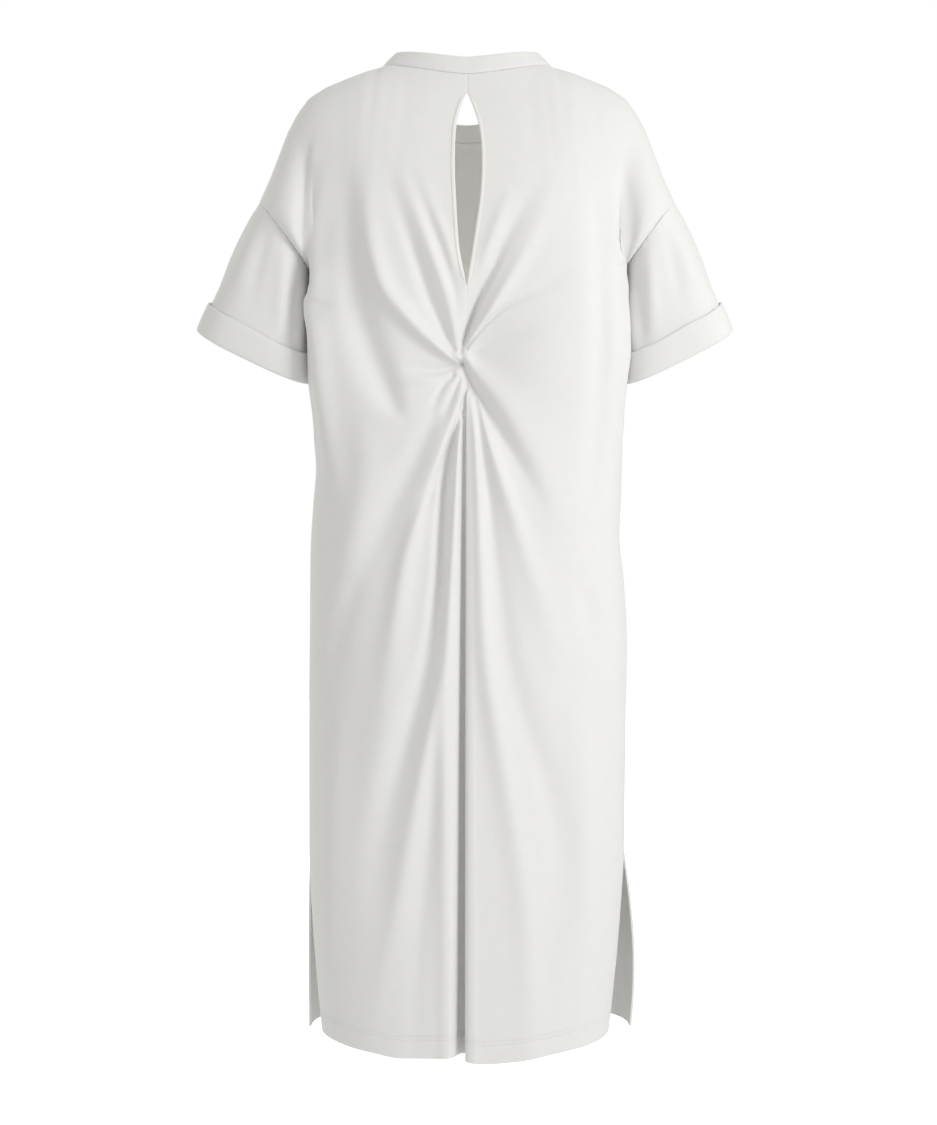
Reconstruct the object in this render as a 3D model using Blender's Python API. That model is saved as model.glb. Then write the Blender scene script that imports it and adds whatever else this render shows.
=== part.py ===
"""Midi T-shirt dress with a twisted, open back, kept in its worn form without the wearer.

The front faces -Y, the wearer's left is +X and +Z is up. The origin lies at the centre of the
neck, level with the highest point of the shoulder seams. All tables are in millimetres.
"""
import bpy
import numpy as np

MM = 0.001

# Driving dimensions in millimetres
WALL = 1.5
HEM_WALL = 2.6
ARMHOLE_WALL = 1.0
HEM_DEPTH = 24.0
SEAM_GAP = 0.3
HEM_HEIGHT = -1205.0
SLIT_TOP = -975.0
UNDERARM_HEIGHT = -262.0
NECK_HALF_WIDTH = 105.0
NECK_BACK = (55.0, -24.5)
NECK_FRONT = (-90.0, -75.0)
NECK_POINT_HEIGHT = -2.0
ARMHOLE_SWEEP = 280.0
SECTION_ROUNDNESS = 2.5
CUFF_ROUNDNESS = 0.62
ARM_DENT = 15.0
CUFF_DEPTH = 34.0
CUFF_STEP = 0.45
CUFF_WALL = 3.0
CUFF_OUTER_LEFT = 332.5
CUFF_OUTER_RIGHT = 327.0
CUFF_OUTER_HEIGHT = -336.0
CUFF_SAG = 5.0
CUFF_INNER = (196.0, -402.0)
CUFF_HALF_DEPTH = 61.0
CUFF_TILT = 0.12
BAND_WIDTH = 23.0
BAND_WALL = 2.4
BAND_LEAN_BACK = 0.22
BAND_LEAN_SIDE = 0.90
BAND_LEAN_FRONT = 0.50
BINDING_WIDTH = 5.0
BINDING_WALL = 2.8
NECK_SHARE = 0.33
PLEAT_DEPTH = 25.0
FOLD_SOFTNESS = 6.0

# Horizontal sections of the body below the underarm
SECTION_COLUMNS = ("height", "left", "right", "back", "front")
SECTIONS = (
    (-1205, 197.0, 193.0, 138, 126),
    (-974, 197.0, 196.0, 132, 121),
    (-794, 197.0, 198.5, 127, 122),
    (-700, 196.0, 199.0, 124, 124),
    (-640, 195.5, 195.0, 121, 126),
    (-594, 194.5, 190.0, 119, 128),
    (-545, 191.0, 191.5, 116, 130),
    (-507, 188.0, 192.5, 113, 132),
    (-444, 194.0, 194.0, 110, 135),
    (-400, 199.0, 195.5, 109, 138),
    (-370, 199.5, 199.5, 109, 140),
    (-340, 199.0, 199.0, 110, 142),
    (-290, 195.5, 195.5, 112, 146),
    (-262, 192.0, 192.0, 112, 144),
)

# Height of the back hem over its plain level, from the centre to the side
HEM_COLUMNS = ("way", "left", "right")
HEM_LIFT = (
    (0.0, -2.0, -2.0),
    (0.05, 0.0, -6.5),
    (0.12, -1.0, -6.0),
    (0.25, -1.8, -2.0),
    (0.35, 1.3, 1.3),
    (0.50, 4.5, 4.5),
    (0.68, 8.0, 6.7),
    (1.0, 9.0, 11.0),
)

# How square the back of the sections is
ROUNDNESS_COLUMNS = ("height", "roundness")
BACK_ROUNDNESS = ((-1205, 2.5), (-640, 2.5), (-480, 3.0), (-370, 3.7), (-262, 3.7))

# Profile of the centre back and of the centre front above the underarm
PROFILE_COLUMNS = ("height", "depth")
BACK_PROFILE = ((-262, 112), (-220, 112), (-160, 105), (-100, 88), (-60, 71), (-24.5, 55))
FRONT_PROFILE = ((-262, -144), (-200, -137), (-130, -116), (-75, -90))

# Shoulder line from the neck point to the shoulder tip
SHOULDER_COLUMNS = ("across", "height")
SHOULDER_LINE = (
    (105, -2),
    (121, -7),
    (136, -13),
    (155, -20),
    (176, -28),
    (198, -41),
    (213, -62),
    (225, -87),
    (233, -111),
    (245, -143),
    (259, -174),
)

# Edges of the keyhole, measured from the centre back line
KEYHOLE_COLUMNS = ("height", "left", "right")
KEYHOLE = (
    (-292, 0.2, 0.2),
    (-282, 2.2, 1.2),
    (-247, 8.6, 6.4),
    (-220, 11.0, 10.6),
    (-189, 12.8, 15.0),
    (-155, 14.2, 17.3),
    (-121, 14.0, 17.0),
    (-93, 12.2, 13.8),
    (-70, 7.2, 7.4),
    (-50, 0.2, 0.2),
)

# Depth of the centre back pleat down the skirt
PLEAT_COLUMNS = ("height", "depth")
PLEAT = (
    (-1205, 25.0),
    (-1000, 20.0),
    (-790, 16.0),
    (-670, 13.0),
    (-520, 10.0),
    (-470, 8.0),
    (-430, 5.0),
    (-402, 0.0),
)

# Section of the full pleat on each side of its seam: way along the cloth, then where it lies
PLEAT_SECTION_COLUMNS = ("along", "across", "inward")
PLEAT_LEFT = ((0, -2, 25), (4, 3, 20), (9, 9, 13), (18, 18, 5), (28, 28, 1), (38, 38, 0))
PLEAT_RIGHT = ((0, 2, 25), (5, -0.5, 14), (9, -1.8, 5), (13, 2.5, 0), (18, 11, -1), (30, 30, 0))

# Folds: way over the cloth as start, bend and end, then widths, heights and lean
FOLD_COLUMNS = (
    "name", "start_x", "start_z", "bend_x", "bend_z", "end_x", "end_z",
    "width_start", "width_end", "height_start", "height_middle", "height_end", "lean",
)
BACK_FOLDS = (
    ("ridge_upper_left", 8, -379, 78, -330, 125, -195, 7, 14, 7, 6, 1, 0.0),
    ("hollow_upper_left", 12, -367, 50, -297, 88, -190, 6, 12, -5, -5, -1, 0.0),
    ("ridge_left_second", 12, -362, 36, -264, 75, -172, 6, 11, 4, 4, 1, 0.0),
    ("hollow_left_second", 11, -345, 24, -273, 56, -190, 5, 9, -2, -3, 0, 0.0),
    ("ridge_left_keyhole", 14, -297, 25, -231, 49, -160, 6, 9, 2, 3, 0, 0.0),
    ("broad_hollow_left", 80, -452, 125, -345, 130, -170, 18, 22, -2, -7, -1, 0.0),
    ("side_ridge_left", 150, -530, 180, -365, 186, -150, 16, 15, 1, 8, 4, 0.0),
    ("crease_left_of_knot", 14, -387, 38, -394, 68, -400, 4, 7, -4, -3, 0, 0.0),
    ("hollow_under_left", 13, -396, 35, -422, 52, -470, 6, 10, -4, -4, 0, 0.0),
    ("ridge_lower_left", 4, -398, 25, -470, 82, -667, 7, 15, 6, 6, 0, 0.0),
    ("hollow_lower_left", 10, -425, 30, -654, 115, -1021, 7, 18, -5, -8, 0, 0.0),
    ("ridge_beside_pleat", 14, -440, 24, -666, 42, -1197, 7, 13, 2, 4, 3, 0.0),
    ("ridge_right_pleat", -9, -430, -19, -619, -32, -1190, 6, 12, 2, 4, 4, 0.0),
    ("hollow_right_pleat", -17, -432, -42, -548, -80, -700, 6, 13, -3, -3, 0, 0.0),
    ("ridge_lower_right", -22, -416, -57, -512, -101, -655, 7, 17, 5, 5, 0, 0.0),
    ("hollow_under_lobe", -10, -394, -46, -440, -107, -566, 5, 12, -8, -6, 0, -0.3),
    ("lobe_right", -4, -377, -57, -416, -125, -565, 8, 17, 5, 7, 0, 0.3),
    ("crease_upper_right", 7, -366, -14, -300, -82, -176, 4, 10, -6, -4, 0, 0.0),
    ("ridge_upper_right", 0, -364, -27, -309, -84, -205, 6, 12, 6, 5, 0, 0.0),
    ("crease_right_thin", -8, -361, -30, -338, -80, -293, 4, 8, -4, -3, 0, 0.0),
    ("ridge_right_low", -12, -370, -50, -362, -96, -330, 7, 13, 3, 3, 0, 0.0),
    ("ridge_right_keyhole", -12, -300, -27, -240, -50, -160, 5, 9, 2, 3, 0, 0.0),
    ("hollow_right_side", -166, -180, -162, -342, -142, -575, 13, 16, 0, -4, 0, 0.0),
    ("armpit_hollow_left", 198, -130, 199, -190, 197, -240, 9, 9, -1, -5, -4, 0.0),
    ("armpit_hollow_right", -198, -140, -200, -195, -198, -240, 9, 9, 0, -3, -3, 0.0),
    ("side_ridge_right", -184, -160, -190, -303, -186, -480, 13, 14, 2, 6, 1, 0.0),
    ("skirt_ridge_left", 153, -600, 165, -760, 170, -960, 16, 20, 0, 3, 0, 0.0),
    ("skirt_ridge_right", -120, -760, -128, -960, -118, -1190, 18, 24, 0, 4, 2, 0.0),
    ("skirt_hollow_right", -70, -720, -84, -930, -78, -1190, 18, 22, 0, -3, -2, 0.0),
)
FRONT_FOLDS = (
    ("bust_drape_left", 122, -130, 138, -420, 118, -770, 15, 20, 1, 6, 0, 0.0),
    ("bust_hollow_left", 92, -190, 96, -430, 84, -690, 15, 20, 0, -4, 0, 0.0),
    ("bust_drape_right", -128, -150, -142, -400, -122, -700, 15, 20, 1, 6, 0, 0.0),
    ("bust_hollow_right", -96, -210, -104, -400, -88, -620, 15, 18, 0, -4, 0, 0.0),
    ("underarm_pull_left", 160, -274, 130, -302, 70, -332, 9, 13, 0, 4, 0, 0.0),
    ("underarm_pull_right", -154, -272, -122, -296, -76, -350, 9, 13, 0, 4, 0, 0.0),
    ("skirt_drape_left", 92, -600, 104, -860, 90, -1195, 16, 22, 0, 6, 4, 0.0),
    ("skirt_hollow_left", 58, -560, 52, -860, 46, -1195, 17, 23, 0, -5, -3, 0.0),
    ("skirt_drape_right", -58, -520, -74, -850, -70, -1195, 16, 22, 0, 5, 4, 0.0),
    ("skirt_hollow_right", -118, -640, -114, -930, -120, -1195, 17, 22, 0, -4, -3, 0.0),
    ("skirt_drape_middle", 8, -700, 2, -950, -10, -1195, 16, 20, 0, 4, 3, 0.0),
)

# Folds of the sleeves: way round in degrees from the top of the arm, way along from 0 to 1
SLEEVE_FOLD_COLUMNS = ("name", "start_turn", "start_along", "end_turn", "end_along", "width", "height")
SLEEVE_FOLDS = (
    ("back_hollow_outer", 70, 0.06, 84, 0.62, 9, -3.0),
    ("back_ridge", 100, 0.05, 108, 0.60, 9, 3.0),
    ("back_hollow_inner", 128, 0.10, 122, 0.78, 8, -3.0),
    ("front_ridge", 262, 0.06, 252, 0.70, 10, 3.0),
    ("front_hollow", 292, 0.08, 284, 0.72, 9, -3.0),
    ("underarm_ridge", 222, 0.15, 212, 0.75, 9, 2.0),
)

# Pulled-in and pushed-out spots of the back
SPOT_COLUMNS = ("name", "x", "z", "radius_x", "radius_z", "height")
SPOTS = (
    ("pull_of_twist", 5, -378, 75, 62, -13),
    ("knot", 6, -377, 17, 12, 4),
    ("shoulder_blade_left", 80, -190, 55, 60, 3),
    ("shoulder_blade_right", -85, -185, 55, 60, 3),
)

# Grid lines of the solids: across from the centre to the side, and heights of the rows
BACK_ACROSS = (0.0, 0.005, 0.012, 0.021, 0.031, 0.043, 0.058, 0.076, 0.099, 0.13, 0.17, 0.217, 0.272)
FRONT_ACROSS = (0.0, 0.06, 0.12, 0.18, 0.235, 0.285)
SIDE_ACROSS = (0.33, 0.40, 0.48, 0.57, 0.66, 0.75, 0.84, 0.93, 1.0)
LOWER_ROWS = (
    -1205, -1182, -1180, -1115, -1045, -975, -905, -835, -768, -708, -660, -616, -576, -542,
    -514, -490, -470, -453, -438, -425, -414, -404, -395, -387, -380, -373, -365, -355, -342,
    -325, -306, -285, -262,
)
UPPER_ROWS = (0.04, 0.10, 0.17, 0.25, 0.34, 0.43, 0.52, 0.60, 0.68, 0.75, 0.815, 0.875, 0.935, 1.0)
SLEEVE_ROWS = (0.0, 0.12, 0.3, 0.5, 0.72, 1.0)


def clear_scene():
    """Remove everything that a new file starts with."""
    for item in list(bpy.data.objects):
        bpy.data.objects.remove(item, do_unlink=True)


# Curves and tables

def smooth_table(table, column, at):
    """Read one column of a table by its first column, along a smooth curve."""
    rows = sorted(table)
    known = np.array([row[0] for row in rows], dtype=float)
    value = np.array([row[column] for row in rows], dtype=float)
    slope = np.gradient(value, known)
    at = np.clip(np.asarray(at, dtype=float), known[0], known[-1])
    cell = np.clip(np.searchsorted(known, at, side="right") - 1, 0, len(known) - 2)
    span = known[cell + 1] - known[cell]
    part = (at - known[cell]) / span
    rise = part * part * (3 - 2 * part)
    bend_in = part * (1 - part) ** 2
    bend_out = part * part * (part - 1)
    level = value[cell] * (1 - rise) + value[cell + 1] * rise
    return level + span * (bend_in * slope[cell] + bend_out * slope[cell + 1])


def ease(value):
    """Rise smoothly from 0 to 1."""
    value = np.clip(value, 0.0, 1.0)
    return value * value * (3 - 2 * value)


def hermite(start, leave, end, arrive, part):
    """Cubic curve between two points with given directions at both ends."""
    part = part[..., None]
    rise = part * part * (3 - 2 * part)
    bend_in = part * (1 - part) ** 2
    bend_out = part * part * (part - 1)
    return start * (1 - rise) + end * rise + leave * bend_in + arrive * bend_out


def stack(x, y, z):
    """Join three coordinate arrays into points."""
    x, y, z = np.broadcast_arrays(x, y, z)
    return np.stack([x, y, z], axis=-1).astype(float)


def unit(vectors):
    """Scale vectors to length one."""
    length = np.linalg.norm(vectors, axis=-1, keepdims=True)
    return vectors / np.maximum(length, 1e-9)


# Body surface: u runs from the centre to the side, t from the hem (-1) by the underarm (0) up (1)

def row_to_t(height):
    """Turn a height below the underarm into the row value."""
    return (height - UNDERARM_HEIGHT) / (UNDERARM_HEIGHT - HEM_HEIGHT)


def section_point(side, face, u, height):
    """Point of a horizontal section; side is +1 left or -1 right, face +1 back or -1 front."""
    half_width = smooth_table(SECTIONS, 1 if side > 0 else 2, height)
    depth = smooth_table(SECTIONS, 3 if face > 0 else 4, height)
    slit = np.clip((SLIT_TOP - height) / (SLIT_TOP - HEM_HEIGHT), 0.0, 1.0)
    if face > 0:
        half_width = half_width - 17.0 * slit ** 1.3
        side_depth = 16.0 * slit
    else:
        half_width = half_width + (2.0 if side > 0 else 17.0) * np.sin(slit * 2.2)
        side_depth = -8.0 * slit
    angle = u * np.pi / 2
    power = 2.0 / (smooth_table(BACK_ROUNDNESS, 1, height) if face > 0 else SECTION_ROUNDNESS)
    pressed = ease((UNDERARM_HEIGHT - height) / 55.0) * ease((height + 480.0) / 75.0)
    across = half_width * np.sin(angle) ** power - ARM_DENT * pressed * ease((u - 0.80) / 0.20)
    out = np.clip(np.cos(angle), 0.0, 1.0) ** power
    return stack(side * across, side_depth + (face * depth - side_depth) * out, height)


def top_edge(side, face, u):
    """Point of the neckline or of the shoulder seam."""
    turn = np.clip(u / NECK_SHARE, 0.0, 1.0) * np.pi / 2
    neck_depth, neck_height = NECK_BACK if face > 0 else NECK_FRONT
    across = NECK_HALF_WIDTH * np.sin(turn)
    drop = (NECK_POINT_HEIGHT - neck_height) * (1 - (across / NECK_HALF_WIDTH) ** 1.5)
    drop_front = (NECK_POINT_HEIGHT - neck_height) * np.cos(turn) ** 1.3
    neck = stack(side * across, neck_depth * np.cos(turn),
                 NECK_POINT_HEIGHT - (drop if face > 0 else drop_front))
    line = np.array(SHOULDER_LINE, dtype=float)
    steps = np.linalg.norm(np.diff(line, axis=0), axis=1)
    way = np.concatenate([[0.0], np.cumsum(steps)])
    at = np.clip((u - NECK_SHARE) / (1 - NECK_SHARE), 0.0, 1.0) * way[-1]
    shoulder = stack(side * np.interp(at, way, line[:, 0]), 0.0, np.interp(at, way, line[:, 1]))
    return np.where((u < NECK_SHARE)[..., None], neck, shoulder)


def soft_edge(side, face, u):
    """Top edge with its corner at the neck point rounded off, for the cloth further down."""
    window = 0.11 * ease(u / 0.2) * ease((1 - u) / 0.3)
    total = np.zeros(np.shape(u) + (3,))
    for offset, weight in ((-1, 0.125), (-0.5, 0.25), (0, 0.25), (0.5, 0.25), (1, 0.125)):
        total = total + weight * top_edge(side, face, u + offset * window)
    return total


def upper_point(side, face, u, part):
    """Point of the body above the underarm."""
    start = section_point(side, face, u, np.full_like(u, UNDERARM_HEIGHT))
    below = section_point(side, face, u, np.full_like(u, UNDERARM_HEIGHT - 1.0))
    end = top_edge(side, face, u)
    side_share = ease((u - 0.70) / 0.30)[..., None]
    rise = (start - below) * 330.0
    sweep = np.array([0.0, face * ARMHOLE_SWEEP, 0.0])
    leave = rise * (1 - side_share) + sweep * side_share
    neck_share = (np.clip(u / NECK_SHARE, 0.0, 1.0) ** 2)[..., None]
    over_neck = np.array([0.0, -face * 70.0, 120.0])
    over_shoulder = np.array([0.0, -face * 235.0, 0.0])
    arrive = over_neck * (1 - neck_share) + over_shoulder * neck_share
    arrive = arrive * (1 - side_share) + np.array([0.0, -face * ARMHOLE_SWEEP, 0.0]) * side_share
    soft = soft_edge(side, face, u)
    point = hermite(start, leave, soft, arrive, part) + (end - soft) * (part ** 5)[..., None]
    centre = np.zeros_like(u)
    middle = hermite(
        section_point(side, face, centre, np.full_like(u, UNDERARM_HEIGHT)),
        stack(centre, 0.0, 330.0),
        top_edge(side, face, centre),
        stack(centre, -face * 70.0, 120.0),
        part,
    )
    profile = smooth_table(BACK_PROFILE if face > 0 else FRONT_PROFILE, 1, middle[..., 2])
    point[..., 1] += (profile - middle[..., 1]) * (1 - u) ** 2
    return point


def body_point(side, face, u, t):
    """Point of the plain body surface without folds."""
    u, t = np.broadcast_arrays(np.asarray(u, dtype=float), np.asarray(t, dtype=float))
    height = UNDERARM_HEIGHT + np.minimum(t, 0.0) * (UNDERARM_HEIGHT - HEM_HEIGHT)
    lower = section_point(side, face, u, height)
    if face > 0:
        lift = smooth_table(HEM_LIFT, 1 if side > 0 else 2, u)
        lower[..., 2] += lift * ease((HEM_HEIGHT + 125.0 - height) / 125.0)
    upper = upper_point(side, face, u, np.clip(t, 0.0, 1.0))
    return np.where((t > 0)[..., None], upper, lower)


def body_normal(side, face, u, t):
    """Outward direction of the plain body surface."""
    step = 0.002
    u_low = np.clip(u - step, 0.003, 1.0 - 2 * step)
    u_high = u_low + 2 * step
    t_low = np.clip(t - step, -1.0, 1.0 - 2 * step)
    across = body_point(side, face, u_high, t) - body_point(side, face, u_low, t)
    up = body_point(side, face, u, t_low + 2 * step) - body_point(side, face, u, t_low)
    return unit(np.cross(across, up)) * (-side * face)


# Folds: each lies along a curve on the cloth and moves the cloth near it in or out

def fold_line(row, places):
    """Lay the curve of one fold on the cloth."""
    part = np.linspace(0.0, 1.0, 19)[:, None]
    start = np.array(row[1:3], dtype=float)
    bend = np.array(row[3:5], dtype=float)
    end = np.array(row[5:7], dtype=float)
    curve = start * (1 - part) ** 2 + bend * 2 * part * (1 - part) + end * part ** 2
    gap = (places[None, :, 0] - curve[:, None, 0]) ** 2 + (places[None, :, 2] - curve[:, None, 1]) ** 2
    nearest = places[np.argmin(gap, axis=1)].copy()
    nearest[:, 0] = curve[:, 0]
    nearest[:, 2] = curve[:, 1]
    return nearest


def fold_height(points, normals, line, widths, heights, lean):
    """How far one fold moves each point outwards."""
    best = np.full(points.shape[0], 1e9)
    along = np.zeros(points.shape[0])
    offset = np.zeros(points.shape[0])
    count = len(line) - 1
    for index in range(count):
        start = line[index]
        way = line[index + 1] - start
        part = np.clip(((points - start) @ way) / max(way @ way, 1e-9), 0.0, 1.0)
        away = points - start - part[:, None] * way
        distance = np.linalg.norm(away, axis=1)
        side = np.sign(np.einsum("ij,ij->i", np.cross(np.broadcast_to(way, away.shape), normals), away))
        closer = distance < best
        best = np.where(closer, distance, best)
        along = np.where(closer, (index + part) / count, along)
        offset = np.where(closer, distance * np.where(side < 0, 1 + lean, 1 - lean), offset)
    sharp = widths[0] + (widths[1] - widths[0]) * along
    width = np.hypot(sharp, FOLD_SOFTNESS)
    level = heights[0] * (1 - along) * (1 - 2 * along) + heights[1] * 4 * along * (1 - along)
    level = level + heights[2] * along * (2 * along - 1)
    return level * sharp / width * np.exp(-(offset / width) ** 2)


def folded(points, normals, face):
    """Height of all folds of the back or of the front at the given points."""
    u = np.linspace(0.0, 1.0, 61)[:, None]
    t = np.linspace(-1.0, 1.0, 161)[None, :]
    places = np.concatenate([
        body_point(1, face, u, t).reshape(-1, 3),
        body_point(-1, face, u, t).reshape(-1, 3),
    ])
    total = np.zeros(points.shape[0])
    for row in BACK_FOLDS if face > 0 else FRONT_FOLDS:
        line = fold_line(row, places)
        total = total + fold_height(points, normals, line, row[7:9], row[9:12], row[12])
    if face > 0:
        for _name, x, z, radius_x, radius_z, height in SPOTS:
            far = ((points[:, 0] - x) / radius_x) ** 2 + ((points[:, 2] - z) / radius_z) ** 2
            total = total + height * np.exp(-far)
    return total


def keyhole_edge(side, height):
    """Way of the keyhole edge from the centre line."""
    edge = smooth_table(KEYHOLE, 1 if side > 0 else 2, height)
    inside = (height > KEYHOLE[0][0]) & (height < KEYHOLE[-1][0])
    return np.where(inside, np.maximum(edge, 0.2), 0.0)


def binding_share(height):
    """Share of the full binding width at a height."""
    low = ease((height - KEYHOLE[0][0]) / 13.0)
    high = ease((KEYHOLE[-1][0] - height) / 12.0)
    return low * high


def open_keyhole(side, points):
    """Move the cloth beside the keyhole aside, up to the outer edge of the binding."""
    height = points[..., 2]
    share = binding_share(height)
    shift = keyhole_edge(side, height) + (BINDING_WIDTH + SEAM_GAP) * share
    reach = 75.0
    points[..., 0] += side * shift * np.clip(1 - np.abs(points[..., 0]) / reach, 0.0, 1.0) ** 2
    return points


def lay_pleat(side, points, plain):
    """Turn the cloth beside the centre back seam into the pleat."""
    depth = smooth_table(PLEAT, 1, plain[..., 2])
    depth = np.where(plain[..., 2] > PLEAT[-1][0], 0.0, depth)
    share = depth / PLEAT_DEPTH
    size = 0.35 + 0.65 * share
    along = np.abs(plain[..., 0]) / size
    section = PLEAT_LEFT if side > 0 else PLEAT_RIGHT
    inside = along < section[-1][0]
    across = smooth_table(section, 1, along) * size
    inward = smooth_table(section, 2, along) * share
    fade = ease(share / 0.2)
    shift = np.where(inside, (across - np.abs(plain[..., 0])) * fade, 0.0)
    points[..., 0] += side * shift
    points[..., 1] -= np.where(inside, inward, 0.0)
    return points


def cloth_point(side, face, u, t):
    """Point of the folded cloth of a body panel."""
    u, t = np.broadcast_arrays(np.asarray(u, dtype=float), np.asarray(t, dtype=float))
    plain = body_point(side, face, u, t)
    normal = body_normal(side, face, u, t)
    height = folded(plain.reshape(-1, 3), normal.reshape(-1, 3), face).reshape(u.shape)
    near_side = ease((1.0 - u) / 0.14)
    near_top = ease((1.0 - t) / 0.16)
    points = plain + normal * (height * near_side * near_top)[..., None]
    if face > 0:
        points = lay_pleat(side, points, plain)
        points = open_keyhole(side, points)
    return points


# Sleeve surface: turn runs round the arm from the top by the back, along runs down to the cuff

def armhole_point(side, turn):
    """Point of the armhole seam; turn in radians."""
    back = turn <= np.pi
    part = np.where(back, 1 - turn / np.pi, turn / np.pi - 1)
    u = np.ones_like(part)
    return np.where(back[..., None], upper_point(side, 1, u, part), upper_point(side, -1, u, part))


def cuff_point(side, turn):
    """Point of the lower end of the sleeve."""
    outer_x = CUFF_OUTER_LEFT if side > 0 else CUFF_OUTER_RIGHT
    middle_x = (outer_x + CUFF_INNER[0]) / 2
    middle_z = (CUFF_OUTER_HEIGHT + CUFF_INNER[1]) / 2
    half_x = (outer_x - CUFF_INNER[0]) / 2
    half_z = (CUFF_OUTER_HEIGHT - CUFF_INNER[1]) / 2
    round_x = np.sign(np.cos(turn)) * np.abs(np.cos(turn)) ** CUFF_ROUNDNESS
    round_y = np.sign(np.sin(turn)) * np.abs(np.sin(turn)) ** CUFF_ROUNDNESS
    lift = CUFF_TILT * CUFF_HALF_DEPTH * (1 - round_y) - CUFF_SAG * np.clip(round_y, 0.0, 1.0) ** 2
    across = side * (middle_x + half_x * round_x)
    return stack(across, CUFF_HALF_DEPTH * round_y, middle_z + half_z * round_x + lift)


def plain_sleeve(side, turn, along):
    """Point of the sleeve without folds."""
    start = armhole_point(side, turn)
    end = cuff_point(side, turn)
    way = end - start
    point = start + way * along[..., None]
    bow = np.sin(np.pi * along) * 3.0 * np.sin(turn)
    point[..., 1] += bow
    return point


def sleeve_normal(side, turn, along):
    """Outward direction of the sleeve."""
    step = 0.02
    before = np.clip(along - step, 0.0, 1.0 - 2 * step)
    down = plain_sleeve(side, turn, before + 2 * step) - plain_sleeve(side, turn, before)
    turn_low = np.mod(turn - step, 2 * np.pi)
    turn_high = np.mod(turn + step, 2 * np.pi)
    round_way = plain_sleeve(side, turn_high, along) - plain_sleeve(side, turn_low, along)
    return unit(np.cross(round_way, down)) * -side


def sleeve_along(side, turn, rows, cuff_rows):
    """Ways along the sleeve: given shares above the cuff, then distances from the end below."""
    start = armhole_point(side, turn)
    length = np.linalg.norm(cuff_point(side, turn) - start, axis=-1)
    above = [share * (1 - CUFF_DEPTH / length) for share in rows]
    below = [1 - distance / length for distance in cuff_rows]
    return np.stack(above + below)


def sleeve_point(side, turn, along):
    """Point of the folded sleeve."""
    plain = plain_sleeve(side, turn, along)
    normal = sleeve_normal(side, turn, along)
    flat = plain.reshape(-1, 3)
    total = np.zeros(flat.shape[0])
    part = np.linspace(0.0, 1.0, 9)
    for _name, turn_0, along_0, turn_1, along_1, width, height in SLEEVE_FOLDS:
        line_turn = np.radians(turn_0 + (turn_1 - turn_0) * part)
        line = plain_sleeve(side, line_turn, (along_0 + (along_1 - along_0) * part) * 0.8)
        total += fold_height(flat, normal.reshape(-1, 3), line, (width, width * 1.3), (0, height, 0), 0.0)
    near_seam = ease(along / 0.12) * ease((0.96 - along) / 0.14)
    return plain + normal * (total.reshape(along.shape) * near_seam)[..., None]


# Walls: a grid of outer points gets an inner side and closed edges

def grid_normals(points, closed, outward):
    """Outward directions at the points of a grid."""
    if closed:
        round_way = np.roll(points, -1, axis=1) - np.roll(points, 1, axis=1)
    else:
        round_way = np.gradient(points, axis=1)
    up = np.gradient(points, axis=0)
    return unit(np.cross(round_way, up)) * outward


def share_normals(grids):
    """Give touching edge points of neighbouring pieces one common wall direction."""
    shared = {}
    for points, normals in grids:
        for row, column in edge_places(points):
            key = tuple(np.round(points[row, column] * 20).astype(int))
            shared.setdefault(key, []).append((normals, row, column))
    for members in shared.values():
        total = sum(normals[row, column] for normals, row, column in members)
        for normals, row, column in members:
            normals[row, column] = total / np.linalg.norm(total)


def share_armhole(sleeve, sleeve_normals, back_normals, front_normals, front_column):
    """Give both sides of an armhole seam one common wall direction."""
    upper = len(UPPER_ROWS)
    back = back_normals[-1 - upper:, -1]
    front = front_normals[-1 - upper:, front_column]
    body = np.concatenate([back[::-1], front[1:-1]])
    body[0] = unit(back[-1] + front[-1])
    body[upper] = unit(back[0] + front[0])
    tangent = unit(np.roll(sleeve[0], -1, axis=0) - np.roll(sleeve[0], 1, axis=0))
    into = sleeve[1] - sleeve[0]
    into = unit(into - tangent * np.sum(into * tangent, axis=1, keepdims=True))
    agree = np.sum(body * sleeve_normals[0], axis=1, keepdims=True)
    folded_back = ease((0.5 - agree) / 0.6)
    common = unit(unit(body + sleeve_normals[0]) * (1 - folded_back) + into * folded_back)
    sleeve_normals[0] = common
    back_normals[-1 - upper:, -1] = common[upper::-1]
    front_normals[-1 - upper:, front_column] = np.concatenate([common[upper:], common[:1]])


def edge_places(points):
    """Rows and columns of the points on the edge of a grid."""
    rows, columns = points.shape[:2]
    places = {(row, column) for row in (0, rows - 1) for column in range(columns)}
    places |= {(row, column) for row in range(rows) for column in (0, columns - 1)}
    return sorted(places)


def pull_back(points, closed):
    """Draw the edges of a piece back by half the seam gap, a tube's a little more."""
    half = SEAM_GAP if closed else SEAM_GAP / 2
    moved = points.copy()
    moved[0] += unit(points[1] - points[0]) * half
    moved[-1] += unit(points[-2] - points[-1]) * half
    if not closed:
        moved[:, 0] += unit(points[:, 1] - points[:, 0]) * half
        moved[:, -1] += unit(points[:, -2] - points[:, -1]) * half
    return moved


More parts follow.
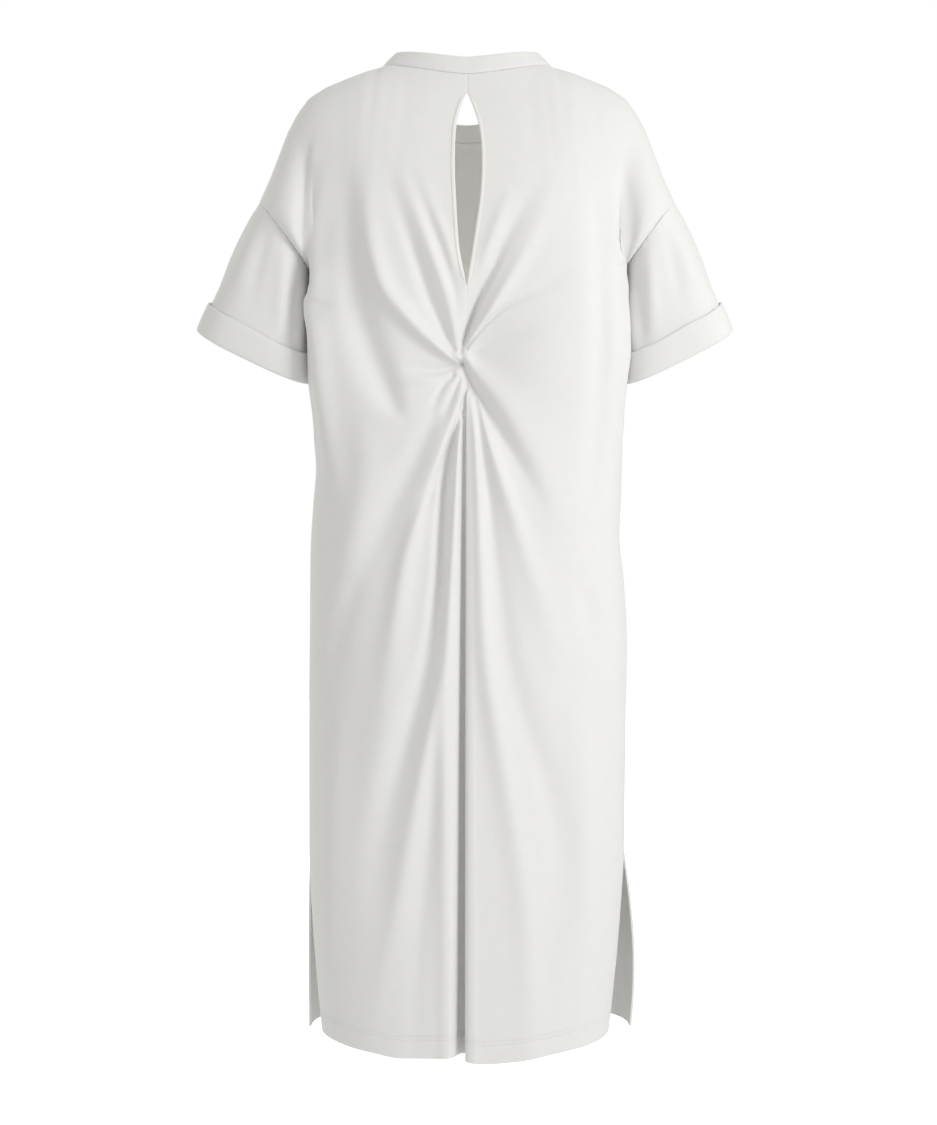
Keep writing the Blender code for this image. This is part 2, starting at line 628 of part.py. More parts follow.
def wall_faces(outer, closed):
    """Triangles of a closed wall between two grids of the same size."""
    rows, columns = outer.shape[:2]
    count = rows * columns
    faces = []
    spans = columns if closed else columns - 1
    for row in range(rows - 1):
        for column in range(spans):
            right = (column + 1) % columns
            a, b = row * columns + column, row * columns + right
            c, d = b + columns, a + columns
            short = np.linalg.norm(outer[row, column] - outer[row + 1, right])
            other = np.linalg.norm(outer[row, right] - outer[row + 1, column])
            pair = ((a, b, c), (a, c, d)) if short <= other else ((a, b, d), (b, c, d))
            for face in pair:
                faces.append(face)
                faces.append(tuple(count + index for index in reversed(face)))
    rim = [(column, (column + 1) % columns) for column in range(spans)]
    rim += [((rows - 1) * columns + (column + 1) % columns, (rows - 1) * columns + column)
            for column in range(spans)]
    if not closed:
        rim += [((row + 1) * columns, row * columns) for row in range(rows - 1)]
        rim += [(row * columns + columns - 1, (row + 1) * columns + columns - 1) for row in range(rows - 1)]
    for start, end in rim:
        faces.append((end, start, count + start))
        faces.append((end, count + start, count + end))
    return faces


def loft_faces(rows, columns):
    """Triangles of a ring of closed sections."""
    faces = []
    for row in range(rows):
        for column in range(columns):
            a = row * columns + column
            b = row * columns + (column + 1) % columns
            c = ((row + 1) % rows) * columns + (column + 1) % columns
            d = ((row + 1) % rows) * columns + column
            faces += [(a, b, c), (a, c, d)]
    return faces


def strip_faces(rows, columns):
    """Triangles of a strip of closed sections with flat ends."""
    faces = []
    for row in range(rows - 1):
        for column in range(columns):
            a = row * columns + column
            b = row * columns + (column + 1) % columns
            faces += [(a, b, b + columns), (a, b + columns, a + columns)]
    last = (rows - 1) * columns
    for column in range(1, columns - 1):
        faces.append((0, column + 1, column))
        faces.append((last, last + column, last + column + 1))
    return faces


def signed_volume(points, faces):
    """Volume of a closed mesh, negative when its faces look inwards."""
    corners = points[np.array(faces)]
    return np.einsum("ij,ij->i", corners[:, 0], np.cross(corners[:, 1], corners[:, 2])).sum() / 6


def make_material(name, colour, roughness):
    """Plain cloth material."""
    material = bpy.data.materials.new(name)
    material.use_nodes = True
    shader = material.node_tree.nodes["Principled BSDF"]
    shader.inputs["Base Color"].default_value = (*colour, 1.0)
    shader.inputs["Roughness"].default_value = roughness
    material.diffuse_color = (*colour, 1.0)
    return material


def make_object(name, points, faces, colour):
    """Add a closed mesh object from points in millimetres."""
    if signed_volume(points, faces) < 0:
        faces = [tuple(reversed(face)) for face in faces]
    mesh = bpy.data.meshes.new(name)
    mesh.from_pydata([tuple(point) for point in points * MM], [], faces)
    mesh.polygons.foreach_set("use_smooth", [True] * len(mesh.polygons))
    mesh.set_sharp_from_angle(angle=np.radians(50))
    mesh.update()
    piece = bpy.data.objects.new(name, mesh)
    bpy.context.scene.collection.objects.link(piece)
    mesh.materials.append(make_material(name + "_jersey", colour, 0.85))
    return piece


def make_wall(name, grid, normals, thickness, closed, colour):
    """Add a thin wall of cloth: the grid is its outer side."""
    inner = grid - normals * thickness[..., None]
    outer = pull_back(grid, closed)
    inner = pull_back(inner, closed)
    points = np.concatenate([outer.reshape(-1, 3), inner.reshape(-1, 3)])
    return make_object(name, points, wall_faces(outer, closed), colour)


# Pieces

def panel_rows():
    """Row values of the body panels, from the hem up."""
    return np.array([row_to_t(height) for height in LOWER_ROWS] + list(UPPER_ROWS))


def back_grid(side):
    """Outer points of one back panel."""
    across = np.array(BACK_ACROSS + SIDE_ACROSS)
    u, t = np.meshgrid(across, panel_rows())
    return cloth_point(side, 1, u, t)


def front_grid():
    """Outer points of the front panel, from its right side to its left side."""
    across = np.array(FRONT_ACROSS + SIDE_ACROSS)
    u, t = np.meshgrid(across, panel_rows())
    left = cloth_point(1, -1, u, t)
    right = cloth_point(-1, -1, u, t)
    return np.concatenate([right[:, :0:-1], left], axis=1)


def sleeve_grid(side):
    """Outer points of a sleeve."""
    part = np.concatenate([[0.0], np.array(UPPER_ROWS)])
    back_turn = np.pi * (1 - part[::-1])
    front_turn = np.pi * (1 + part[1:-1])
    turn = np.concatenate([back_turn, front_turn])
    along = sleeve_along(side, turn, SLEEVE_ROWS, (17.0, 2.0))
    turn = np.broadcast_to(turn, along.shape)
    return sleeve_point(side, turn, along), turn, along


def panel_thickness(grid, side_columns):
    """Wall of a panel: doubled along the hem, pressed thinner along the armholes."""
    wall = np.full(grid.shape[:2], WALL)
    wall[grid[..., 2] < HEM_HEIGHT + HEM_DEPTH + 0.1] = HEM_WALL
    for column in side_columns:
        wall[-len(UPPER_ROWS):-1, column] = ARMHOLE_WALL
    return wall


def sleeve_thickness(grid):
    """Wall of a sleeve, pressed thinner along the armhole."""
    wall = np.full(grid.shape[:2], WALL)
    wall[0] = ARMHOLE_WALL
    return wall


def make_cuff(side, grid, normals):
    """Turned-up cuff: a rounded band outside the end of the sleeve, with a lip under its edge."""
    top, middle, end = grid[-3], grid[-2], grid[-1]
    out_top, out_middle, out_end = normals[-3], normals[-2], normals[-1]
    down = unit(end - top)
    section = [
        end + out_end * -WALL * 0.8 + down * 2.4,
        end + out_end * CUFF_STEP + down * 1.0,
        middle + out_middle * CUFF_STEP,
        top + out_top * (CUFF_STEP + 0.5),
        top + out_top * (CUFF_STEP + 0.5 + CUFF_WALL * 0.9),
        middle + out_middle * (CUFF_STEP + CUFF_WALL),
        end + out_end * (CUFF_STEP + CUFF_WALL * 0.9) + down * 1.0,
        end + out_end * CUFF_WALL * 0.35 + down * 4.0,
        end + out_end * -WALL * 0.6 + down * 4.0,
    ]
    points = np.stack(section, axis=1)
    faces = loft_faces(points.shape[0], points.shape[1])
    name = "cuff_left" if side > 0 else "cuff_right"
    return make_object(name, points.reshape(-1, 3), faces, (0.80, 0.80, 0.78))


def make_neckband(ring, normals):
    """Folded neckband that stands on the neckline seam and leans towards the neck."""
    around = unit((np.roll(ring, -1, axis=0) - np.roll(ring, 1, axis=0)) * np.array([1.0, 1.0, 0.0]))
    lean_in = np.stack([-around[:, 1], around[:, 0], around[:, 2]], axis=1)
    lean_in *= -np.sign(np.sum(lean_in * (ring - np.array([0.0, -18.0, 0.0])), axis=1, keepdims=True))
    side_share = (np.abs(ring[:, :1]) / NECK_HALF_WIDTH) ** 3
    middle_lean = np.where(ring[:, 1:2] > 0, BAND_LEAN_BACK, BAND_LEAN_FRONT)
    lean = middle_lean + (BAND_LEAN_SIDE - middle_lean) * side_share
    rise = unit(lean_in * lean + np.array([0.0, 0.0, 1.0]))
    out = unit(np.array([0.0, 0.0, 1.0]) * lean - lean_in)
    inner = ring - normals * WALL
    section = [
        ring + rise * SEAM_GAP,
        ring + out * 0.5 + rise * 2.5,
        ring + out * 0.6 + rise * (BAND_WIDTH * 0.55),
        ring + out * 0.3 + rise * (BAND_WIDTH - 1.2),
        ring - out * (BAND_WALL * 0.45) + rise * BAND_WIDTH,
        ring - out * (BAND_WALL - 0.3) + rise * (BAND_WIDTH - 1.2),
        ring - out * (BAND_WALL - 0.6) + rise * (BAND_WIDTH * 0.55),
        inner - out * 0.3 + rise * 2.5,
        inner + rise * SEAM_GAP,
    ]
    points = np.stack(section, axis=1)
    faces = loft_faces(points.shape[0], points.shape[1])
    return make_object("neckband", points.reshape(-1, 3), faces, (0.86, 0.86, 0.84))


def make_binding(side, grid, normals):
    """Narrow rounded edge along one side of the keyhole."""
    edge = grid[:, 0]
    keep = binding_share(edge[:, 2]) > 0.02
    edge, out = edge[keep], normals[:, 0][keep]
    away = unit(grid[:, 1][keep] - edge)
    share = binding_share(edge[:, 2])[:, None]
    width = BINDING_WIDTH * share
    middle = edge - out * (WALL / 2) - away * (SEAM_GAP / 2)
    half = BINDING_WALL / 2 * (0.4 + 0.6 * share)
    section = [
        middle + out * half * 0.9,
        middle - away * width * 0.45 + out * half,
        middle - away * width * 0.85 + out * half * 0.75,
        middle - away * width,
        middle - away * width * 0.85 - out * half * 0.75,
        middle - away * width * 0.45 - out * half,
        middle - out * half * 0.9,
    ]
    points = np.stack(section, axis=1)
    name = "keyhole_binding_left" if side > 0 else "keyhole_binding_right"
    faces = strip_faces(points.shape[0], points.shape[1])
    return make_object(name, points.reshape(-1, 3), faces, (0.88, 0.88, 0.86))


def neck_ring(back_left, back_right, front):
    """Neckline seam as one ring: back left, front, back right."""
    neck = len(BACK_ACROSS) + 1
    side_count = len(SIDE_ACROSS) - 1
    left = back_left[-1, :neck]
    right = back_right[-1, 1:neck]
    middle = front[-1, side_count + 1:front.shape[1] - side_count - 1]
    return np.concatenate([left, middle[::-1], right[::-1]])


def build():
    """Build every piece of the dress."""
    clear_scene()
    back_left = back_grid(1)
    back_right = back_grid(-1)
    front = front_grid()
    sleeve_left, _turn, _along = sleeve_grid(1)
    sleeve_right, _turn, _along = sleeve_grid(-1)
    normals_left = grid_normals(back_left, False, -1)
    normals_right = grid_normals(back_right, False, 1)
    normals_front = grid_normals(front, False, 1)
    normals_sleeve_left = grid_normals(sleeve_left, True, -1)
    normals_sleeve_right = grid_normals(sleeve_right, True, 1)
    share_normals(((back_left, normals_left), (back_right, normals_right), (front, normals_front)))
    share_armhole(sleeve_left, normals_sleeve_left, normals_left, normals_front, -1)
    share_armhole(sleeve_right, normals_sleeve_right, normals_right, normals_front, 0)
    make_wall("front_panel", front, normals_front, panel_thickness(front, (0, -1)), False,
              (0.78, 0.78, 0.76))
    make_wall("back_left_panel", back_left, normals_left, panel_thickness(back_left, (-1,)), False,
              (0.84, 0.84, 0.82))
    make_wall("back_right_panel", back_right, normals_right, panel_thickness(back_right, (-1,)), False,
              (0.82, 0.82, 0.80))
    make_wall("sleeve_left", sleeve_left, normals_sleeve_left, sleeve_thickness(sleeve_left), True,
              (0.83, 0.83, 0.81))
    make_wall("sleeve_right", sleeve_right, normals_sleeve_right, sleeve_thickness(sleeve_right), True,
              (0.83, 0.83, 0.81))
    make_cuff(1, sleeve_left, normals_sleeve_left)
    make_cuff(-1, sleeve_right, normals_sleeve_right)
    make_binding(1, back_left, normals_left)
    make_binding(-1, back_right, normals_right)
    ring = neck_ring(back_left, back_right, front)
    ring_normals = neck_ring(normals_left, normals_right, normals_front)
    make_neckband(ring, ring_normals)


if __name__ == "__main__":
    build()
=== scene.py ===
"""Looks of a midi T-shirt dress in heavy white jersey, with a twisted and open back.

The dress keeps its worn form without a wearer. Lengths in this file are millimetres in the frame
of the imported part: +Z up, the back with the twist on +Y, the wearer's left on +X.
"""
import logging
from dataclasses import dataclass, field
from enum import Enum

import bpy
import numpy as np
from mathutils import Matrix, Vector


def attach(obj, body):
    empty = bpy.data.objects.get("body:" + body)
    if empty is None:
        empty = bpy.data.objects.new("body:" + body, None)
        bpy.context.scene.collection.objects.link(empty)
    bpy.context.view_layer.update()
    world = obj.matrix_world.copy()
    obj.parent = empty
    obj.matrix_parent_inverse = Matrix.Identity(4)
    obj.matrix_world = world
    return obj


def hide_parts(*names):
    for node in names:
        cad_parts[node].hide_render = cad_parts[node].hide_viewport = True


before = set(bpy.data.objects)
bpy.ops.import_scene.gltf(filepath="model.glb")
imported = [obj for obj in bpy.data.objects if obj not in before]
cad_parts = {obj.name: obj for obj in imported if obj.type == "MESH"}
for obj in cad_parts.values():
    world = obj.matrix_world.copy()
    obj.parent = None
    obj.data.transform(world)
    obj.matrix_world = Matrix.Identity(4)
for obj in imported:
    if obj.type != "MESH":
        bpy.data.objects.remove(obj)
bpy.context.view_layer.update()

METRE = 0.001
BODY = "root"
PLACE_LAYER = "cloth_place"
LOG = logging.getLogger("dress")
Array = np.ndarray
Table = tuple[tuple[float, ...], ...]


class Side(Enum):
    """Side of the wearer, with its direction along X."""

    LEFT = 1
    RIGHT = -1

    @property
    def word(self) -> str:
        """Name of the side in piece names."""
        return self.name.lower()


class Face(Enum):
    """Back or front of the dress, with its direction along Y."""

    BACK = 1
    FRONT = -1


class Hand(Enum):
    """Raised side of a tuck, seen from outside while following its line."""

    LEFT = 1
    RIGHT = -1


# Curves and grids

def smooth_curve(known: Array, value: Array, at: Array) -> Array:
    """Read a value along a smooth curve through known places.

    Args:
        known: rising places.
        value: value at each known place.
        at: places to read.

    Returns:
        The value at each place that was asked for.
    """
    slope = np.gradient(value, known)
    at = np.clip(np.asarray(at, dtype=float), known[0], known[-1])
    cell = np.clip(np.searchsorted(known, at, side="right") - 1, 0, len(known) - 2)
    span = known[cell + 1] - known[cell]
    part = (at - known[cell]) / span
    rise = part * part * (3 - 2 * part)
    bend = part * (1 - part) ** 2 * slope[cell] + part * part * (part - 1) * slope[cell + 1]
    return value[cell] * (1 - rise) + value[cell + 1] * rise + span * bend


def table_column(table: Table, column: int, at: Array) -> Array:
    """Read one column of a table by its first column.

    Args:
        table: rows of numbers, each starting with its place.
        column: number of the column to read.
        at: places to read.

    Returns:
        The smoothed value of the column at each place.
    """
    rows = np.array(sorted(table), dtype=float)
    return smooth_curve(rows[:, 0], rows[:, column], at)


def ease(value: Array) -> Array:
    """Rise smoothly from 0 to 1."""
    value = np.clip(value, 0.0, 1.0)
    return value * value * (3 - 2 * value)


def stack(x: Array, y: Array, z: Array) -> Array:
    """Join three coordinates into points."""
    return np.stack(np.broadcast_arrays(x, y, z), axis=-1).astype(float)


def unit(vectors: Array) -> Array:
    """Scale vectors to length one."""
    return vectors / np.maximum(np.linalg.norm(vectors, axis=-1, keepdims=True), 1e-9)


def hermite(start: Array, leave: Array, end: Array, arrive: Array, part: Array) -> Array:
    """Cubic curve between two points with given directions at its ends.

    Args:
        start: first point.
        leave: direction and speed at the first point.
        end: last point.
        arrive: direction and speed at the last point.
        part: way along the curve from 0 to 1.

    Returns:
        Points of the curve.
    """
    part = part[..., None]
    rise = part * part * (3 - 2 * part)
    bend_in = part * (1 - part) ** 2
    bend_out = part * part * (part - 1)
    return start * (1 - rise) + end * rise + leave * bend_in + arrive * bend_out


def graded(table: Table, start: float, end: float) -> Array:
    """Places whose spacing follows a table.

    Args:
        table: rows of place and spacing.
        start: first place.
        end: last place.

    Returns:
        Rising places from start to end.
    """
    rows = np.array(sorted(table), dtype=float)
    fine = np.linspace(start, end, 4001)
    spacing = np.interp(fine, rows[:, 0], rows[:, 1])
    count = np.concatenate([[0.0], np.cumsum(np.diff(fine) / (spacing[1:] + spacing[:-1]) * 2)])
    total = int(round(count[-1]))
    return np.interp(np.linspace(0.0, count[-1], total + 1), count, fine)


def travel(points: Array, axis: int) -> Array:
    """Length of the way along one axis of a grid, from its first row or column."""
    steps = np.linalg.norm(np.diff(points, axis=axis), axis=-1)
    first = np.zeros_like(np.take(steps, [0], axis=axis))
    return np.concatenate([first, np.cumsum(steps, axis=axis)], axis=axis)


def grid_normals(points: Array, closed: bool, outward: int) -> Array:
    """Outward directions at the points of a grid.

    Args:
        points: grid of points, rows by columns.
        closed: whether the columns run round a tube.
        outward: 1 or -1, the sign that makes the directions point outwards.

    Returns:
        Unit vectors, one for each point.
    """
    if closed:
        round_way = np.roll(points, -1, axis=1) - np.roll(points, 1, axis=1)
    else:
        round_way = np.gradient(points, axis=1)
    up = np.gradient(points, axis=0)
    return unit(np.cross(round_way, up)) * outward


def wave(place: Array, lengths: tuple[float, ...], phase: float) -> Array:
    """Uneven wave between about -1 and 1, made of a few sines.

    Args:
        place: places along an edge.
        lengths: wave lengths of the sines.
        phase: start of the first sine.

    Returns:
        Height of the wave at each place.
    """
    total = np.zeros_like(place, dtype=float)
    for index, length in enumerate(lengths):
        total += np.sin(place * 2 * np.pi / length + phase * (1 + 1.7 * index))
    return total / len(lengths)


# Form of the body

@dataclass(frozen=True)
class BodyForm:
    """Plain surface of the body, without folds.

    u runs from the centre (0) to the side or armhole (1). t runs from the hem (-1) by the
    underarm (0) to the neckline or shoulder seam (1).
    """

    hem_height: float = -1205.0
    slit_top: float = -975.0
    underarm_height: float = -262.0
    neck_half_width: float = 105.0
    neck_back: tuple[float, float] = (55.0, -24.5)
    neck_front: tuple[float, float] = (-90.0, -75.0)
    neck_point_height: float = -2.0
    armhole_sweep: float = 280.0
    roundness: float = 2.5
    back_roundness: Table = ((-1205, 2.5), (-640, 2.5), (-480, 3.0), (-370, 3.7), (-262, 3.7))
    arm_dent: float = 15.0
    # at the hem: how far the back is drawn in, how far back and front part, how far the front flares
    slit_draw: float = 17.0
    slit_part_back: float = 16.0
    slit_part_front: float = 8.0
    slit_flare: tuple[float, float] = (2.0, 17.0)
    neck_share: float = 0.33
    # height, half width left and right, depth back and front
    sections: Table = (
        (-1205, 197.0, 193.0, 138, 126),
        (-974, 197.0, 196.0, 132, 121),
        (-794, 197.0, 198.5, 127, 122),
        (-700, 196.0, 199.0, 124, 124),
        (-640, 195.5, 195.0, 121, 126),
        (-594, 194.5, 190.0, 119, 128),
        (-545, 191.0, 191.5, 116, 130),
        (-507, 188.0, 192.5, 113, 132),
        (-444, 194.0, 194.0, 110, 135),
        (-400, 199.0, 195.5, 109, 138),
        (-370, 199.5, 199.5, 109, 140),
        (-340, 199.0, 199.0, 110, 142),
        (-290, 195.5, 195.5, 112, 146),
        (-262, 192.0, 192.0, 112, 144),
    )
    # way from the centre to the side, height of the back hem over its plain level left and right
    hem_lift: Table = (
        (0, -2, -2), (0.05, 0, -6.5), (0.12, -1, -6), (0.25, -1.8, -2), (0.35, 1.3, 1.3),
        (0.5, 4.5, 4.5), (0.68, 8, 6.7), (1, 9, 11),
    )
    # height and depth of the centre line above the underarm
    back_profile: Table = ((-262, 112), (-220, 112), (-160, 105), (-100, 88), (-60, 71), (-24.5, 55))
    front_profile: Table = ((-262, -144), (-200, -137), (-130, -116), (-75, -90))
    # way across and height of the shoulder seam
    shoulder_line: Table = (
        (105, -2), (121, -7), (136, -13), (155, -20), (176, -28), (198, -41),
        (213, -62), (225, -87), (233, -111), (245, -143), (259, -174),
    )

    def row(self, height: Array) -> Array:
        """Row value of a height below the underarm."""
        return (height - self.underarm_height) / (self.underarm_height - self.hem_height)

    def section_point(self, side: Side, face: Face, u: Array, height: Array) -> Array:
        """Point of a horizontal section.

        Args:
            side: side of the wearer.
            face: back or front.
            u: way from the centre to the side.
            height: height of the section.

        Returns:
            Points of the section.
        """
        half_width = table_column(self.sections, 1 if side is Side.LEFT else 2, height)
        depth = table_column(self.sections, 3 if face is Face.BACK else 4, height)
        slit = np.clip((self.slit_top - height) / (self.slit_top - self.hem_height), 0.0, 1.0)
        if face is Face.BACK:
            half_width = half_width - self.slit_draw * slit ** 1.3
            side_depth = self.slit_part_back * slit
        else:
            flare = self.slit_flare[0 if side is Side.LEFT else 1]
            half_width = half_width + flare * np.sin(slit * 2.2)
            side_depth = -self.slit_part_front * slit
        angle = u * np.pi / 2
        back = face is Face.BACK
        power = 2.0 / (table_column(self.back_roundness, 1, height) if back else self.roundness)
        pressed = ease((self.underarm_height - height) / 55.0) * ease((height + 480.0) / 75.0)
        across = half_width * np.sin(angle) ** power - self.arm_dent * pressed * ease((u - 0.80) / 0.20)
        out = np.clip(np.cos(angle), 0.0, 1.0) ** power
        return stack(side.value * across, side_depth + (face.value * depth - side_depth) * out, height)

    def top_edge(self, side: Side, face: Face, u: Array) -> Array:
        """Point of the neckline or of the shoulder seam.

        Args:
            side: side of the wearer.
            face: back or front.
            u: way from the centre to the side.

        Returns:
            Points of the top edge.
        """
        turn = np.clip(u / self.neck_share, 0.0, 1.0) * np.pi / 2
        neck_depth, neck_height = self.neck_back if face is Face.BACK else self.neck_front
        across = self.neck_half_width * np.sin(turn)
        drop = (1 - (across / self.neck_half_width) ** 1.5) if face is Face.BACK else np.cos(turn) ** 1.3
        height = self.neck_point_height - (self.neck_point_height - neck_height) * drop
        neck = stack(side.value * across, neck_depth * np.cos(turn), height)
        line = np.array(self.shoulder_line, dtype=float)
        way = np.concatenate([[0.0], np.cumsum(np.linalg.norm(np.diff(line, axis=0), axis=1))])
        at = np.clip((u - self.neck_share) / (1 - self.neck_share), 0.0, 1.0) * way[-1]
        shoulder = stack(
            side.value * np.interp(at, way, line[:, 0]), 0.0, np.interp(at, way, line[:, 1]))
        return np.where((u < self.neck_share)[..., None], neck, shoulder)

    def soft_edge(self, side: Side, face: Face, u: Array) -> Array:
        """Top edge with its corner at the neck point rounded off.

        Args:
            side: side of the wearer.
            face: back or front.
            u: way from the centre to the side.

        Returns:
            Points that the cloth further down follows.
        """
        window = 0.16 * ease(u / 0.2) * ease((1 - u) / 0.3)
        total = np.zeros((*np.shape(u), 3))
        for offset, weight in ((-1, 0.125), (-0.5, 0.25), (0, 0.25), (0.5, 0.25), (1, 0.125)):
            total = total + weight * self.top_edge(side, face, u + offset * window)
        return total

    def upper_point(self, side: Side, face: Face, u: Array, part: Array) -> Array:
        """Point of the body above the underarm.

        Args:
            side: side of the wearer.
            face: back or front.
            u: way from the centre to the armhole.
            part: way up from the underarm, 0 to 1.

        Returns:
            Points of the upper body.
        """
        level = np.full_like(u, self.underarm_height)
        start = self.section_point(side, face, u, level)
        below = self.section_point(side, face, u, level - 1.0)
        end = self.top_edge(side, face, u)
        side_share = ease((u - 0.70) / 0.30)[..., None]
        sweep = np.array([0.0, face.value * self.armhole_sweep, 0.0])
        leave = (start - below) * 330.0 * (1 - side_share) + sweep * side_share
        neck_share = ease(u / (1.3 * self.neck_share))[..., None]
        over_neck = np.array([0.0, -face.value * 70.0, 120.0])
        over_shoulder = np.array([0.0, -face.value * 235.0, 0.0])
        arrive = over_neck * (1 - neck_share) + over_shoulder * neck_share
        arrive = arrive * (1 - side_share) - sweep * side_share
        soft = self.soft_edge(side, face, u)
        point = hermite(start, leave, soft, arrive, part) + (end - soft) * (part ** 5)[..., None]
        centre = np.zeros_like(u)
        middle = hermite(
            self.section_point(side, face, centre, level),
            stack(centre, 0.0, 330.0),
            self.top_edge(side, face, centre),
            stack(centre, -face.value * 70.0, 120.0),
            part,
        )
        table = self.back_profile if face is Face.BACK else self.front_profile
        profile = table_column(table, 1, middle[..., 2])
        point[..., 1] += (profile - middle[..., 1]) * (1 - u) ** 2
        return point

    def point(self, side: Side, face: Face, u: Array, t: Array) -> Array:
        """Point of the plain body surface.

        Args:
            side: side of the wearer.
            face: back or front.
            u: way from the centre to the side.
            t: row value.

        Returns:
            Points of the surface.
        """
        u, t = np.broadcast_arrays(np.asarray(u, dtype=float), np.asarray(t, dtype=float))
        height = self.underarm_height + np.minimum(t, 0.0) * (self.underarm_height - self.hem_height)
        lower = self.section_point(side, face, u, height)
        if face is Face.BACK:
            lift = table_column(self.hem_lift, 1 if side is Side.LEFT else 2, u)
            lower[..., 2] += lift * ease((self.hem_height + 125.0 - height) / 125.0)
        upper = self.upper_point(side, face, u, np.clip(t, 0.0, 1.0))
        return np.where((t > 0)[..., None], upper, lower)

    def normal(self, side: Side, face: Face, u: Array, t: Array) -> Array:
        """Outward direction of the plain body surface.

        Args:
            side: side of the wearer.
            face: back or front.
            u: way from the centre to the side.
            t: row value.

        Returns:
            Unit vectors.
        """
        step = 0.002
        u_low = np.clip(u - step, 0.003, 1.0 - 2 * step)
        t_low = np.clip(t - step, -1.0, 1.0 - 2 * step)
        across = self.point(side, face, u_low + 2 * step, t) - self.point(side, face, u_low, t)
        up = self.point(side, face, u, t_low + 2 * step) - self.point(side, face, u, t_low)
        return unit(np.cross(across, up)) * (-side.value * face.value)

    def columns(self, face: Face, spacing: Table) -> Array:
        """Values of u whose places are spaced by a table.

        Args:
            face: back or front.
            spacing: rows of way from the centre and spacing.

        Returns:
            Values of u from 0 to 1.
        """
        fine = np.linspace(0.0, 1.0, 3001)
        line = self.section_point(Side.LEFT, face, fine, np.full_like(fine, -380.0))
        way = travel(line[None], 1)[0]
        return np.interp(graded(spacing, 0.0, way[-1]), way, fine)

    def rows(self, face: Face, lower: Table, upper_step: float) -> Array:
        """Row values from the hem up.

        Args:
            face: back or front.
            lower: rows of height and spacing below the underarm.
            upper_step: spacing above the underarm.

        Returns:
            Rising row values.
        """
        below = self.row(graded(lower, self.hem_height, self.underarm_height))
        fine = np.linspace(0.0, 1.0, 801)
        way = travel(self.point(Side.LEFT, face, np.full_like(fine, 0.3), fine)[None], 1)[0]
        count = int(round(way[-1] / upper_step))
        above = np.interp(np.linspace(0.0, way[-1], count + 1), way, fine)
        return np.concatenate([below, above[1:]])


# Folds

@dataclass(frozen=True)
class Fold:
    """Round ridge or hollow along a line on the cloth.

    Each station holds x, z, width and height; a hollow has negative heights.
    """

    name: str
    stations: Table


@dataclass(frozen=True)
class Tuck:
    """Fold with a raised side that leans over a sunken side.

    Each station holds x, z, width and height of the raised side, width and height of the sunken
    side, and how far the raised side is drawn over the other. The edge is the softness of the
    step as a share of the sunken width.
    """

    name: str
    raised: Hand
    edge: float
    stations: Table


@dataclass(frozen=True)
class Spot:
    """Round rise or dent of the cloth."""

    name: str
    x: float
    z: float
    radius_x: float
    radius_z: float
    height: float


@dataclass
class LaidLine:
    """Line of a fold laid on the cloth, with the station values along it."""

    points: Array
    values: Array

    @classmethod
    def from_stations(cls, stations: Table, places: Array, pieces: int = 10) -> "LaidLine":
        """Lay the stations of a fold on the cloth.

        Args:
            stations: rows that start with x and z.
            places: points of the plain cloth.
            pieces: number of short pieces between two stations.

        Returns:
            The laid line.
        """
        rows = np.array(stations, dtype=float)
        steps = np.linalg.norm(np.diff(rows[:, :2], axis=0), axis=1)
        way = np.concatenate([[0.0], np.cumsum(steps)])
        at = np.linspace(0.0, way[-1], (len(rows) - 1) * pieces + 1)
        columns = np.stack(
            [smooth_curve(way, rows[:, index], at) for index in range(rows.shape[1])], axis=1)
        gap = ((places[None, :, 0] - columns[:, None, 0]) ** 2
               + (places[None, :, 2] - columns[:, None, 1]) ** 2)
        weight = np.exp((gap.min(axis=1, keepdims=True) - gap) / 25.0)
        depth = weight @ places[:, 1] / weight.sum(axis=1)
        return cls(stack(columns[:, 0], depth, columns[:, 1]), columns[:, 2:])

    def measure(self, points: Array, normals: Array, reach: float) -> tuple[Array, Array, Array, Array]:
        """Find the points near the line and where they lie beside it.

        Args:
            points: points of the cloth.
            normals: outward directions there.
            reach: distance past which points are left out.

        Returns:
            Indices of the near points, their signed distance (positive on the left hand), the
            station values there, and the direction across the line towards the left hand.
        """
        low = self.points.min(axis=0) - reach
        high = self.points.max(axis=0) + reach
        flat = np.array([True, False, True])
        near = np.nonzero(np.all(((points >= low) & (points <= high))[:, flat], axis=1))[0]
        start = self.points[:-1]
        way = np.diff(self.points, axis=0)
        length = np.maximum(np.einsum("ij,ij->i", way, way), 1e-9)
        away = points[near][:, None, :] - start[None]
        part = np.clip(np.einsum("pij,ij->pi", away, way) / length, 0.0, 1.0)
        away = away - part[..., None] * way[None]
        normal = normals[near][:, None, :]
        over = np.sum(away * normal, axis=-1)
        away = away - normal * over[..., None]
        distance = np.hypot(np.linalg.norm(away, axis=-1), np.maximum(np.abs(over) - 12.0, 0.0))
        best = np.argmin(distance, axis=1)
        pick = np.arange(len(near))
        share = (best + part[pick, best]) / len(way)
        across = unit(np.cross(normals[near], way[best]))
        side = np.sign(np.sum(away[pick, best] * across, axis=1))
        grid = np.linspace(0.0, 1.0, len(self.values))
        values = np.stack([np.interp(share, grid, column) for column in self.values.T], axis=1)
        return near, distance[pick, best] * np.where(side < 0, -1.0, 1.0), values, across


